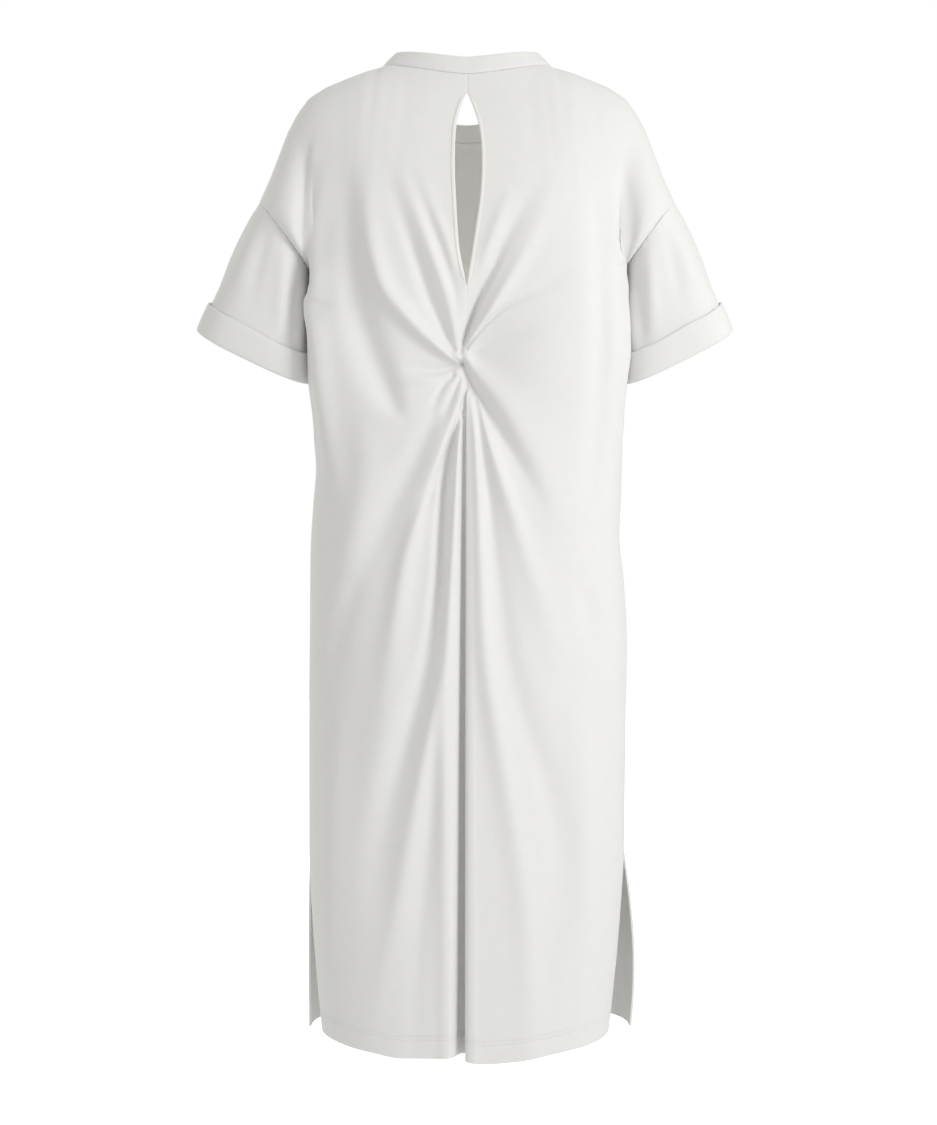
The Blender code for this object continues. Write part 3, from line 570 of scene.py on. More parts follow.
@dataclass
class FoldField:
    """All folds of one face of the body."""

    form: BodyForm
    face: Face
    folds: tuple[Fold, ...] = ()
    tucks: tuple[Tuck, ...] = ()
    spots: tuple[Spot, ...] = ()
    relief: float = 1.0
    places: Array = field(init=False)

    def __post_init__(self) -> None:
        """Work out the plain cloth that the lines are laid on."""
        u = np.linspace(0.0, 1.0, 61)[:, None]
        t = np.linspace(-1.0, 1.0, 161)[None, :]
        halves = [self.form.point(side, self.face, u, t).reshape(-1, 3) for side in Side]
        self.places = np.concatenate(halves)

    def move(self, points: Array, normals: Array) -> tuple[Array, Array]:
        """Height and sideways draw of the cloth at given points.

        Args:
            points: points of the plain cloth, one row each.
            normals: outward directions there.

        Returns:
            Height outwards and sideways vector at each point.
        """
        height = np.zeros(len(points))
        draw = np.zeros_like(points)
        for fold in self.folds:
            line = LaidLine.from_stations(fold.stations, self.places)
            reach = line.values[:, 0].max() * 2.6
            near, offset, values, _across = line.measure(points, normals, reach)
            height[near] += self.relief * values[:, 1] * np.exp(-(offset / values[:, 0]) ** 2)
        for tuck in self.tucks:
            line = LaidLine.from_stations(tuck.stations, self.places)
            reach = max(line.values[:, 0].max(), line.values[:, 2].max()) * 2.6
            near, offset, values, across = line.measure(points, normals, reach)
            offset = offset * tuck.raised.value
            high = 0.5 + 0.5 * np.tanh(offset / (tuck.edge * values[:, 2]))
            raised = np.exp(-(offset / values[:, 0]) ** 2)
            sunken = np.exp(-(offset / values[:, 2]) ** 2)
            height[near] += high * values[:, 1] * raised + (1 - high) * values[:, 3] * sunken
            pull = values[:, 4] * (
                high * raised + (1 - high) * np.exp(-(offset / (values[:, 2] * 0.4)) ** 2))
            draw[near] -= across * (tuck.raised.value * pull)[:, None]
        for spot in self.spots:
            far = (((points[:, 0] - spot.x) / spot.radius_x) ** 2
                   + ((points[:, 2] - spot.z) / spot.radius_z) ** 2)
            height += spot.height * np.exp(-far)
        return height, draw


BACK_FOLDS = (
    # above the twist, on the left of it
    Fold("main_ridge_left", (
        (12, -380, 4, 3.5), (26, -371, 6, 7), (49, -352, 9, 9), (75, -325, 11, 9), (97, -297, 12, 8),
        (111, -255, 13, 6), (118, -208, 14, 3.5), (121, -165, 15, 1.5), (124, -125, 16, 0))),
    Fold("hollow_right_of_main", (
        (17, -368, 4, -3), (30, -338, 6.5, -5.5), (47, -300, 8, -5.5), (60, -262, 8, -4.5),
        (72, -226, 9, -3), (84, -190, 10, -1.5), (98, -140, 12, 0))),
    Fold("second_ridge_left", (
        (14, -352, 5, 1.5), (22, -312, 7, 3), (35, -272, 8, 3.5), (48, -235, 9, 2.8),
        (62, -198, 9, 1.6), (80, -150, 11, 0))),
    Fold("second_hollow_left", (
        (15, -300, 5, -1), (27, -262, 6, -2), (42, -222, 7, -2), (54, -190, 8, -1), (70, -145, 10, 0))),
    Fold("third_ridge_left", (
        (16, -268, 5, 1), (27, -232, 7, 2), (42, -196, 8, 1.3), (58, -150, 10, 0))),
    Fold("broad_hollow_left", (
        (78, -448, 9, -1), (88, -434, 13, -5), (102, -405, 18, -9), (117, -370, 21, -10),
        (129, -330, 21, -10), (137, -285, 19, -8), (142, -235, 17, -5), (144, -190, 16, -2.5),
        (144, -145, 15, 0))),
    Fold("side_ridge_left", (
        (150, -560, 18, 0), (164, -490, 17, 4), (174, -410, 15, 7), (178, -330, 14, 8),
        (179, -260, 13, 7), (178, -215, 12, 5), (174, -170, 12, 2), (170, -125, 12, 0))),
    # beside and under the twist, on the left of it
    Fold("rib_left_of_knot", (
        (30, -400, 5, 0), (48, -404, 6, 1.8), (70, -403, 8, 1.4), (94, -398, 9, 0))),
    Fold("crease_left_of_knot", (
        (5, -383, 3.5, -4), (18, -388, 4.5, -4.5), (34, -391, 5.5, -3), (54, -392, 7, -1.8),
        (80, -390, 9, 0))),
    Fold("crease_under_left", (
        (17, -398, 3.5, -3), (28, -409, 4, -3), (37, -426, 5, -2), (44, -445, 7, 0))),
    Fold("crease_beside_edge", (
        (9, -402, 3, -2), (16, -418, 3.5, -2.5), (25, -440, 5, -2), (34, -465, 7, 0))),
    Fold("long_hollow_left", (
        (40, -452, 9, -2), (62, -500, 14, -4.5), (84, -545, 17, -5), (106, -590, 19, -4),
        (124, -640, 20, 0))),
    Fold("second_long_hollow_left", (
        (118, -620, 14, 0), (142, -668, 15, -2.5), (158, -720, 16, -2), (166, -790, 16, 0))),
    Fold("armpit_hollow_left", (
        (200, -110, 7, 0), (201, -150, 8, -0.8), (201, -190, 8, -1.8), (200, -225, 7, -3),
        (198, -250, 6, -3))),
    Fold("broad_ridge_left", (
        (128, -440, 16, 0), (120, -500, 20, 3), (132, -580, 22, 4), (150, -650, 20, 2),
        (160, -720, 18, 0))),
    Fold("lower_ridge_left", (
        (44, -545, 8, 0), (61, -580, 10, 5), (73, -625, 12, 6.5), (82, -680, 14, 6),
        (92, -750, 18, 4), (106, -850, 22, 2), (122, -960, 24, 0))),
    Fold("deep_hollow_left", (
        (6, -442, 2.5, -2), (13, -463, 3.5, -5), (21, -490, 4.5, -8), (27, -524, 4.8, -9.5),
        (31, -580, 5.5, -9.5), (34, -640, 6.3, -9), (41, -705, 8, -8), (55, -770, 11.5, -7.5),
        (75, -840, 15, -6.5), (92, -905, 18, -5), (106, -985, 20, -3), (116, -1060, 20, 0))),
    Fold("strip_ridge_left", (
        (8, -440, 2, 1), (10, -480, 3.4, 2.5), (13, -540, 5, 4), (17, -620, 6.5, 4.5),
        (22, -700, 8, 4.5), (27, -790, 9, 4), (27, -900, 10, 3.5), (25, -1040, 11, 3),
        (24, -1204, 11, 2.5))),
    Fold("branch_ridge_left", (
        (30, -735, 7, 0), (38, -790, 8, 3), (53, -870, 10, 4), (68, -950, 12, 3.5),
        (86, -1050, 13, 2.5), (104, -1130, 14, 1), (112, -1190, 14, 0))),
    Fold("soft_hollow_between", (
        (36, -840, 8, 0), (42, -920, 10, -2), (52, -1020, 12, -2.5), (60, -1120, 13, -1.5),
        (62, -1204, 13, -1))),
    # above the twist, on the right of it
    Fold("deep_crease_right", (
        (7, -370, 2.4, -4), (1, -348, 2.8, -6), (-7, -326, 3.2, -6.5), (-16, -303, 3.8, -6),
        (-27, -280, 5, -5), (-42, -246, 7, -3.3), (-62, -208, 9, -1.6), (-92, -150, 12, 0))),
    Fold("seam_side_hollow", (
        (4, -356, 6, -2.5), (-3, -328, 8, -4), (-12, -300, 10, -3.5), (-24, -268, 11, -2),
        (-38, -232, 12, 0))),
    Fold("ridge_between_creases", (
        (-2, -364, 3.5, 1.5), (-20, -334, 6, 4), (-38, -305, 8, 5), (-56, -275, 10, 4.2),
        (-74, -240, 12, 2.6), (-92, -200, 13, 1.2), (-112, -150, 14, 0))),
    Fold("thin_crease_right", (
        (1, -366, 2, -2), (-19, -341, 2.4, -3.4), (-44, -318, 3.4, -2.8), (-72, -304, 5.5, -2),
        (-98, -290, 9, -1.6), (-124, -268, 12, 0))),
    Fold("faint_crease_right", (
        (-6, -371, 3, -1.5), (-27, -361, 5, -2), (-56, -353, 8, -1.8), (-88, -346, 10, 0))),
    Fold("keyhole_ridge_right", (
        (-12, -290, 5, 0), (-24, -250, 7, 2), (-38, -212, 8, 2), (-52, -172, 8, 0))),
    Fold("side_hollow_right", (
        (-152, -160, 12, 0), (-160, -230, 13, -3), (-163, -320, 14, -4.5), (-162, -410, 15, -4.5),
        (-154, -500, 16, -3), (-144, -570, 16, 0))),
    Fold("side_ridge_right", (
        (-178, -170, 12, 1), (-184, -240, 12, 4), (-186, -320, 13, 5), (-186, -410, 13, 4),
        (-184, -500, 13, 0))),
    Fold("armpit_hollow_right", (
        (-199, -160, 7, 0), (-201, -195, 7, -1), (-200, -228, 7, -2.2), (-197, -250, 6, -2.4))),
    # under the twist, on the right of it
    Fold("pleat_ridge_right", (
        (-5, -425, 2.5, 1), (-9, -460, 4, 3), (-13, -524, 6.5, 4), (-16, -620, 8.5, 4.5),
        (-22, -739, 11, 5), (-38, -840, 13, 4.5), (-54, -930, 15, 4), (-66, -1011, 16, 3.5),
        (-72, -1100, 17, 2.5), (-74, -1204, 17, 1.5))),
    Fold("pleat_hollow_right", (
        (-11, -428, 3, -1.5), (-16, -464, 4.5, -2.5), (-23, -520, 6.5, -3), (-31, -590, 9, -3),
        (-40, -660, 11, -2.8), (-50, -739, 13, -2.8), (-73, -820, 16, -3.4), (-100, -902, 18, -3.5),
        (-110, -1008, 20, -2.5), (-94, -1090, 20, -1), (-84, -1150, 20, 0))),
    Fold("long_ridge_right", (
        (-13, -422, 3.5, 2), (-22, -460, 6, 4), (-37, -512, 8.5, 5), (-53, -562, 11, 5),
        (-70, -617, 14, 4), (-93, -686, 18, 2.4), (-116, -760, 18, 0))),
    Fold("faint_spot_right", (
        (-128, -640, 10, 0), (-144, -668, 12, -2), (-152, -704, 12, -1.5), (-154, -750, 12, 0))),
    Fold("skirt_ridge_far_right", (
        (-128, -760, 18, 0), (-140, -880, 22, 3.5), (-146, -1000, 22, 3.5), (-140, -1110, 20, 2),
        (-134, -1204, 20, 1))),
    Fold("skirt_ridge_far_left", (
        (150, -780, 16, 0), (160, -900, 18, 2.5), (164, -1020, 18, 2), (160, -1204, 18, 0))),
)

BACK_TUCKS = (
    Tuck("lobe_edge", Hand.LEFT, 0.52, (
        (4, -371, 6, 0, 4, 0, 0), (1, -381, 9, 4, 7, -7, 2.5), (-8, -396, 14, 7, 12, -14, 4.5),
        (-21, -416, 21, 8, 17, -18, 4.5), (-36, -440, 27, 7.5, 20, -18, 3.5),
        (-52, -469, 33, 6.5, 21, -14, 2), (-69, -501, 38, 5, 20, -9, 1), (-84, -532, 40, 3, 18, -4, 0),
        (-96, -562, 40, 1.5, 17, -1, 0), (-106, -596, 40, 0, 16, 0, 0))),
    Tuck("armpit_edge_left", Hand.LEFT, 0.30, (
        (188, -100, 12, 0, 6, 0, 0), (191, -140, 15, 3, 8, -2.5, 1), (192, -190, 17, 4.5, 9, -3, 2),
        (192, -230, 17, 4.5, 9, -3.5, 2.5), (190, -258, 16, 3.5, 7, -2.5, 1.5),
        (189, -292, 15, 2, 7, -1, 0.4), (188, -345, 14, 0, 7, 0, 0))),
    Tuck("armpit_edge_right", Hand.RIGHT, 0.40, (
        (-188, -120, 10, 0, 6, 0, 0), (-190, -160, 12, 0.5, 8, -0.8, 0.3),
        (-191, -200, 12, 1.2, 9, -1.6, 0.7), (-191, -235, 12, 1.5, 9, -2.4, 1),
        (-190, -262, 11, 1.5, 7, -2, 1), (-189, -292, 10, 0, 6, 0, 0))),
    Tuck("lower_left_edge", Hand.RIGHT, 0.32, (
        (2, -402, 7, 0, 3, 0, 0), (5, -418, 11, 3, 4, -2, 1), (14, -444, 15, 5, 6, -4, 2),
        (24, -470, 19, 6.5, 7, -5, 3), (34, -500, 22, 6.5, 9, -5, 3), (44, -530, 24, 5, 11, -4, 2),
        (54, -562, 26, 2.5, 12, -2, 1), (62, -592, 26, 0, 12, 0, 0))),
    Tuck("rope_over_knot", Hand.LEFT, 0.45, (
        (34, -362, 5, 0, 3, 0, 0), (20, -371, 5, 2, 3.5, -2.5, 1.2), (9, -378, 5, 3, 3.5, -4, 1.8),
        (1, -379, 5, 3.5, 4, -4, 1.5), (-8, -383, 6, 0, 4, 0, 0))),
)

BACK_SPOTS = (
    Spot("pull_of_twist", 4, -378, 75, 62, -13),
    Spot("knot", 5, -376, 13, 10, 4),
    Spot("shoulder_blade_left", 80, -190, 55, 60, 3),
    Spot("shoulder_blade_right", -85, -185, 55, 60, 3),
    Spot("right_lobe", -78, -385, 52, 48, 5),
)

FRONT_FOLDS = (
    Fold("bust_drape_left", (
        (118, -140, 13, 0), (130, -250, 15, 4), (134, -400, 18, 6), (126, -560, 20, 5),
        (118, -760, 20, 0))),
    Fold("bust_hollow_left", (
        (92, -200, 14, 0), (97, -330, 16, -4), (94, -480, 19, -4), (84, -680, 20, 0))),
    Fold("bust_drape_right", (
        (-122, -160, 13, 0), (-136, -260, 15, 4.5), (-140, -400, 18, 6), (-132, -540, 20, 4),
        (-120, -700, 20, 0))),
    Fold("bust_hollow_right", (
        (-94, -220, 14, 0), (-103, -360, 16, -4), (-98, -500, 18, -3), (-88, -640, 18, 0))),
    Fold("underarm_pull_left", (
        (158, -276, 8, 0), (138, -294, 9, 4), (112, -316, 11, 3), (74, -336, 12, 0))),
    Fold("underarm_crease_left", (
        (156, -292, 6, 0), (136, -310, 7, -3), (108, -336, 9, -2), (86, -356, 9, 0))),
    Fold("underarm_pull_right", (
        (-152, -274, 8, 0), (-132, -292, 9, 4), (-104, -320, 11, 3), (-74, -352, 12, 0))),
    Fold("underarm_crease_right", (
        (-152, -290, 6, 0), (-128, -314, 7, -2.5), (-102, -344, 9, -2), (-84, -372, 9, 0))),
    Fold("skirt_drape_left", (
        (90, -610, 15, 0), (98, -760, 18, 5), (101, -920, 20, 6), (96, -1070, 21, 5),
        (90, -1204, 21, 4))),
    Fold("skirt_hollow_left", (
        (58, -570, 15, 0), (54, -740, 18, -4), (50, -920, 20, -5), (47, -1070, 21, -4),
        (46, -1204, 22, -3))),
    Fold("skirt_drape_right", (
        (-60, -530, 14, 0), (-69, -700, 17, 4.5), (-74, -880, 19, 5.5), (-73, -1050, 20, 5),
        (-70, -1204, 20, 4))),
    Fold("skirt_hollow_right", (
        (-116, -650, 15, 0), (-114, -800, 18, -3.5), (-115, -960, 20, -4), (-118, -1204, 20, -3))),
    Fold("skirt_drape_middle", (
        (7, -710, 14, 0), (4, -850, 17, 3.5), (-2, -1000, 18, 4), (-8, -1204, 18, 3))),
    Fold("waist_crease_left", (
        (150, -452, 8, 0), (124, -462, 9, -2.5), (92, -478, 11, -1.5), (66, -490, 11, 0))),
    Fold("waist_crease_right", (
        (-150, -500, 8, 0), (-120, -516, 10, -2), (-88, -524, 11, -1.5), (-60, -526, 11, 0))),
    Fold("collar_drop_left", (
        (92, -62, 8, 0), (80, -110, 10, 2), (64, -160, 12, 2), (50, -215, 12, 0))),
    Fold("collar_drop_right", (
        (-94, -60, 8, 0), (-84, -116, 10, 2.5), (-70, -170, 12, 2), (-58, -230, 12, 0))),
)

FRONT_SPOTS = (
    Spot("bust_left", 78, -240, 62, 70, 3),
    Spot("bust_right", -80, -236, 62, 70, 3),
)


# Cloth shells

@dataclass
class Shell:
    """Closed thin wall of cloth, built from a grid of outer points.

    Attributes:
        name: name of the mesh object.
        outer: outer points in millimetres, rows by columns.
        normals: outward directions at the outer points.
        wall: thickness at each point.
        closed: whether the columns run round a tube.
        flip: whether the faces are turned over to look outwards.
    """

    name: str
    outer: Array
    normals: Array
    wall: Array
    closed: bool = False
    flip: bool = False

    def quads(self) -> tuple[Array, Array]:
        """Corners of all faces and their places on the grid.

        Returns:
            Vertex numbers of each face, and the unwrapped column and row of each corner.
        """
        rows, columns = self.outer.shape[:2]
        spans = columns if self.closed else columns - 1
        row, column = np.meshgrid(np.arange(rows - 1), np.arange(spans), indexing="ij")
        row, column = row.ravel(), column.ravel()
        corner_rows = np.stack([row, row, row + 1, row + 1], axis=1)
        corner_columns = np.stack([column, column + 1, column + 1, column], axis=1)
        outer = corner_rows * columns + corner_columns % columns
        inner = outer[:, ::-1] + rows * columns
        rim_faces, rim_rows, rim_columns = self.rim(rows, columns, spans)
        faces = np.concatenate([outer, inner, rim_faces])
        places_row = np.concatenate([corner_rows, corner_rows[:, ::-1], rim_rows])
        places_column = np.concatenate([corner_columns, corner_columns[:, ::-1], rim_columns])
        if self.flip:
            faces = faces[:, ::-1]
            places_row = places_row[:, ::-1]
            places_column = places_column[:, ::-1]
        return faces, np.stack([places_column, places_row], axis=-1)

    def rim(self, rows: int, columns: int, spans: int) -> tuple[Array, Array, Array]:
        """Faces that close the edges of the wall.

        Args:
            rows: number of rows of the grid.
            columns: number of columns of the grid.
            spans: number of faces in a row.

        Returns:
            Vertex numbers, rows and columns of the corners.
        """
        run = np.arange(spans)
        ends = [(np.zeros(spans, int), run + 1, np.zeros(spans, int), run),
                (np.full(spans, rows - 1), run, np.full(spans, rows - 1), run + 1)]
        if not self.closed:
            climb = np.arange(rows - 1)
            ends.append((climb, np.zeros(rows - 1, int), climb + 1, np.zeros(rows - 1, int)))
            ends.append((
                climb + 1, np.full(rows - 1, columns - 1), climb, np.full(rows - 1, columns - 1)))
        faces, places_row, places_column = [], [], []
        for row_0, column_0, row_1, column_1 in ends:
            first = row_0 * columns + column_0 % columns
            second = row_1 * columns + column_1 % columns
            under = rows * columns
            faces.append(np.stack([first, second, second + under, first + under], axis=1))
            places_row.append(np.stack([row_0, row_1, row_1, row_0], axis=1))
            places_column.append(np.stack([column_0, column_1, column_1, column_0], axis=1))
        return np.concatenate(faces), np.concatenate(places_row), np.concatenate(places_column)

    def places(self) -> Array:
        """Way across and along the cloth at each grid point, with the column that closes a tube."""
        ring = np.concatenate([self.outer, self.outer[:, :1]], axis=1) if self.closed else self.outer
        return stack(travel(ring, 1), travel(ring, 0), 0.0)

    def build(self) -> bpy.types.Object:
        """Make the mesh object.

        Returns:
            The new object, in metres, with the way over the cloth stored at its face corners.
        """
        inner = self.outer - self.normals * self.wall[..., None]
        points = np.concatenate([self.outer.reshape(-1, 3), inner.reshape(-1, 3)])
        faces, corners = self.quads()
        piece = mesh_object(self.name, points, faces)
        places = self.places()[corners[..., 1], corners[..., 0]]
        store_places(piece, places.reshape(-1, 3))
        return piece


def mesh_object(name: str, points: Array, faces: Array, sharp: float = 62.0) -> bpy.types.Object:
    """Make a smooth mesh object from faces with equally many corners.

    Args:
        name: name of the object.
        points: points in millimetres.
        faces: vertex numbers, one row for each face.
        sharp: angle in degrees past which an edge stays sharp.

    Returns:
        The new object.
    """
    mesh = bpy.data.meshes.new(name)
    corners = faces.shape[1]
    mesh.vertices.add(len(points))
    mesh.vertices.foreach_set("co", (points * METRE).astype(np.float32).ravel())
    mesh.loops.add(faces.size)
    mesh.loops.foreach_set("vertex_index", faces.astype(np.int32).ravel())
    mesh.polygons.add(len(faces))
    mesh.polygons.foreach_set("loop_start", np.arange(len(faces), dtype=np.int32) * corners)
    mesh.polygons.foreach_set("use_smooth", np.ones(len(faces), dtype=bool))
    mesh.update(calc_edges=True)
    mesh.set_sharp_from_angle(angle=np.radians(sharp))
    mesh.validate()
    piece = bpy.data.objects.new(name, mesh)
    bpy.context.scene.collection.objects.link(piece)
    return piece


def store_places(piece: bpy.types.Object, places: Array) -> None:
    """Store the way over the cloth at the face corners of a mesh.

    Args:
        piece: mesh object.
        places: way across and along in millimetres, one row for each face corner.
    """
    layer = piece.data.attributes.new(PLACE_LAYER, "FLOAT_VECTOR", "CORNER")
    layer.data.foreach_set("vector", (places * METRE).astype(np.float32).ravel())


def ring_faces(rows: int, columns: int, closed: bool) -> tuple[Array, Array]:
    """Faces of a row of closed sections.

    Args:
        rows: number of sections.
        columns: number of points in a section.
        closed: whether the last section joins the first.

    Returns:
        Vertex numbers of each face, and the unwrapped section and point of each corner.
    """
    spans = rows if closed else rows - 1
    row, column = np.meshgrid(np.arange(spans), np.arange(columns), indexing="ij")
    row, column = row.ravel(), column.ravel()
    corner_rows = np.stack([row, row, row + 1, row + 1], axis=1)
    corner_columns = np.stack([column, column + 1, column + 1, column], axis=1)
    faces = (corner_rows % rows) * columns + corner_columns % columns
    return faces, np.stack([corner_rows, corner_columns], axis=-1)


def swept_object(name: str, sections: Array, closed: bool, flip: bool) -> bpy.types.Object:
    """Make a rounded band from closed sections.

    Args:
        name: name of the object.
        sections: points in millimetres, sections by points of a section.
        closed: whether the band runs round.
        flip: whether the faces are turned over to look outwards.

    Returns:
        The new object, with the way over the cloth stored at its face corners.
    """
    rows, columns = sections.shape[:2]
    faces, corners = ring_faces(rows, columns, closed)
    full = np.concatenate([sections, sections[:, :1]], axis=1)
    full = np.concatenate([full, full[:1]], axis=0)
    places = stack(travel(full, 0), travel(full, 1), 0.0)[corners[..., 0], corners[..., 1]]
    if flip:
        faces = faces[:, ::-1]
        places = places[:, ::-1]
    if closed:
        piece = mesh_object(name, sections.reshape(-1, 3), faces)
        store_places(piece, places.reshape(-1, 3))
        return piece
    return capped_object(name, sections, faces, places, flip)


def capped_object(
        name: str, sections: Array, faces: Array, places: Array, flip: bool) -> bpy.types.Object:
    """Make an open band whose two ends are closed by a fan round their middle.

    Args:
        name: name of the object.
        sections: points in millimetres, sections by points of a section.
        faces: faces of the band without its ends.
        places: way over the cloth at their corners.
        flip: whether the faces were turned over.

    Returns:
        The new object.
    """
    rows, columns = sections.shape[:2]
    points = np.concatenate([sections.reshape(-1, 3), sections[[0, -1]].mean(axis=1)])
    run = np.arange(columns)
    following = (run + 1) % columns
    last = (rows - 1) * columns
    middle = rows * columns
    first_fan = np.stack([following, run, np.full(columns, middle)], axis=1)
    last_fan = np.stack([run + last, following + last, np.full(columns, middle + 1)], axis=1)
    fans = np.concatenate([first_fan, last_fan])
    if flip:
        fans = fans[:, ::-1]
    triangles = np.concatenate([faces[:, [0, 1, 2]], faces[:, [0, 2, 3]], fans])
    corner_places = np.concatenate(
        [places[:, [0, 1, 2]], places[:, [0, 2, 3]], np.zeros((len(fans), 3, 3))])
    piece = mesh_object(name, points, triangles)
    store_places(piece, corner_places.reshape(-1, 3))
    return piece


def dress_piece(
        piece: bpy.types.Object, material: bpy.types.Material, nodes: tuple[str, ...] = ()) -> None:
    """Give a piece its material, its body and the solids that it stands for.

    Args:
        piece: the finished piece.
        material: its material.
        nodes: names of the solids that it replaces.
    """
    piece.data.materials.append(material)
    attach(piece, BODY)
    if nodes:
        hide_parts(*nodes)
    LOG.info("%s: %d faces", piece.name, len(piece.data.polygons))


# Shader node groups

class NodeGroup:
    """Helper that builds a shader node group with named sockets."""

    def __init__(
            self, name: str, inputs: tuple[tuple[str, str, float], ...],
            outputs: tuple[str, ...]) -> None:
        """Start a group.

        Args:
            name: name of the group.
            inputs: name, socket type and value of each input.
            outputs: names of the value outputs.
        """
        self.tree = bpy.data.node_groups.new(name, "ShaderNodeTree")
        for label, kind, value in inputs:
            socket = self.tree.interface.new_socket(label, in_out="INPUT", socket_type=kind)
            if kind == "NodeSocketFloat":
                socket.default_value = value
        for label in outputs:
            self.tree.interface.new_socket(label, in_out="OUTPUT", socket_type="NodeSocketFloat")
        self.start = self.tree.nodes.new("NodeGroupInput")
        self.end = self.tree.nodes.new("NodeGroupOutput")

    def link(self, source: bpy.types.NodeSocket, target: bpy.types.NodeSocket) -> None:
        """Join two sockets."""
        self.tree.links.new(source, target)

    def math(self, operation: str, first: object, second: object = 0.0) -> bpy.types.NodeSocket:
        """Add a Math node.

        Args:
            operation: name of the operation.
            first: socket or number.
            second: socket or number.

        Returns:
            The output of the node.
        """
        node = self.tree.nodes.new("ShaderNodeMath")
        node.operation = operation
        for index, value in enumerate((first, second)):
            if isinstance(value, bpy.types.NodeSocket):
                self.link(value, node.inputs[index])
            else:
                node.inputs[index].default_value = value
        return node.outputs[0]

    def noise(self, vector: bpy.types.NodeSocket, scale: object, detail: float) -> bpy.types.NodeSocket:
        """Add a Noise Texture node.

        Args:
            vector: place over the surface.
            scale: socket or number.
            detail: number of finer layers.

        Returns:
            The value output of the node.
        """
        node = self.tree.nodes.new("ShaderNodeTexNoise")
        self.link(vector, node.inputs["Vector"])
        if isinstance(scale, bpy.types.NodeSocket):
            self.link(scale, node.inputs["Scale"])
        else:
            node.inputs["Scale"].default_value = scale
        node.inputs["Detail"].default_value = detail
        return node.outputs["Fac"]

    def finish(self, **outputs: bpy.types.NodeSocket) -> bpy.types.NodeTree:
        """Join the outputs and return the group."""
        for label, socket in outputs.items():
            self.link(socket, self.end.inputs[label.replace("_", " ")])
        return self.tree


def knit_group() -> bpy.types.NodeTree:
    """Build the loops of a plain jersey knit.

    Returns:
        Group with the place over the cloth and the loops per metre as inputs, and the height of the
        loops and a painted shade, darker in the hollows between loops, as outputs.
    """
    group = NodeGroup(
        "jersey_loops",
        (("Place", "NodeSocketVector", 0.0), ("Wales", "NodeSocketFloat", 1100.0),
         ("Courses", "NodeSocketFloat", 1400.0), ("Unevenness", "NodeSocketFloat", 0.3)),
        ("Height", "Shade"),
    )
    split = group.tree.nodes.new("ShaderNodeSeparateXYZ")
    group.link(group.start.outputs["Place"], split.inputs[0])
    stray = group.noise(group.start.outputs["Place"], 240.0, 2.0)
    stray = group.math("MULTIPLY", group.math("SUBTRACT", stray, 0.5), group.start.outputs["Unevenness"])
    wale = group.math(
        "ADD", group.math("MULTIPLY", split.outputs[0], group.start.outputs["Wales"]), stray)
    course = group.math(
        "ADD", group.math("MULTIPLY", split.outputs[1], group.start.outputs["Courses"]), stray)
    lean = group.math("ABSOLUTE", group.math("SUBTRACT", group.math("FRACT", wale), 0.5))
    column = group.math("SINE", group.math("MULTIPLY", group.math("FRACT", wale), np.pi))
    loop = group.math("SINE", group.math("MULTIPLY", group.math("ADD", course, lean), 2 * np.pi))
    loop = group.math("ADD", group.math("MULTIPLY", loop, 0.3), 0.7)
    height = group.math("MULTIPLY", column, loop)
    # Painted shade: the colour follows the loop height, so the hollows between loops are darker.
    shade = group.math("MULTIPLY", height, 0.6)
    return group.finish(Height=height, Shade=shade)


def pile_group() -> bpy.types.NodeTree:
    """Build the soft fluff and slight unevenness of washed cotton.

    Returns:
        Group with the fineness of the fluff as input, and its height, its tone and a broad cloud
        as outputs.
    """
    group = NodeGroup(
        "cotton_fluff",
        (("Fineness", "NodeSocketFloat", 1400.0), ("Cloud Size", "NodeSocketFloat", 9.0)),
        ("Height", "Tone", "Cloud"),
    )
    place = group.tree.nodes.new("ShaderNodeTexCoord").outputs["Object"]
    fluff = group.noise(place, group.start.outputs["Fineness"], 3.0)
    tone = group.noise(place, 85.0, 4.0)
    cloud = group.noise(place, group.start.outputs["Cloud Size"], 2.0)
    return group.finish(Height=fluff, Tone=tone, Cloud=cloud)


# Finishes

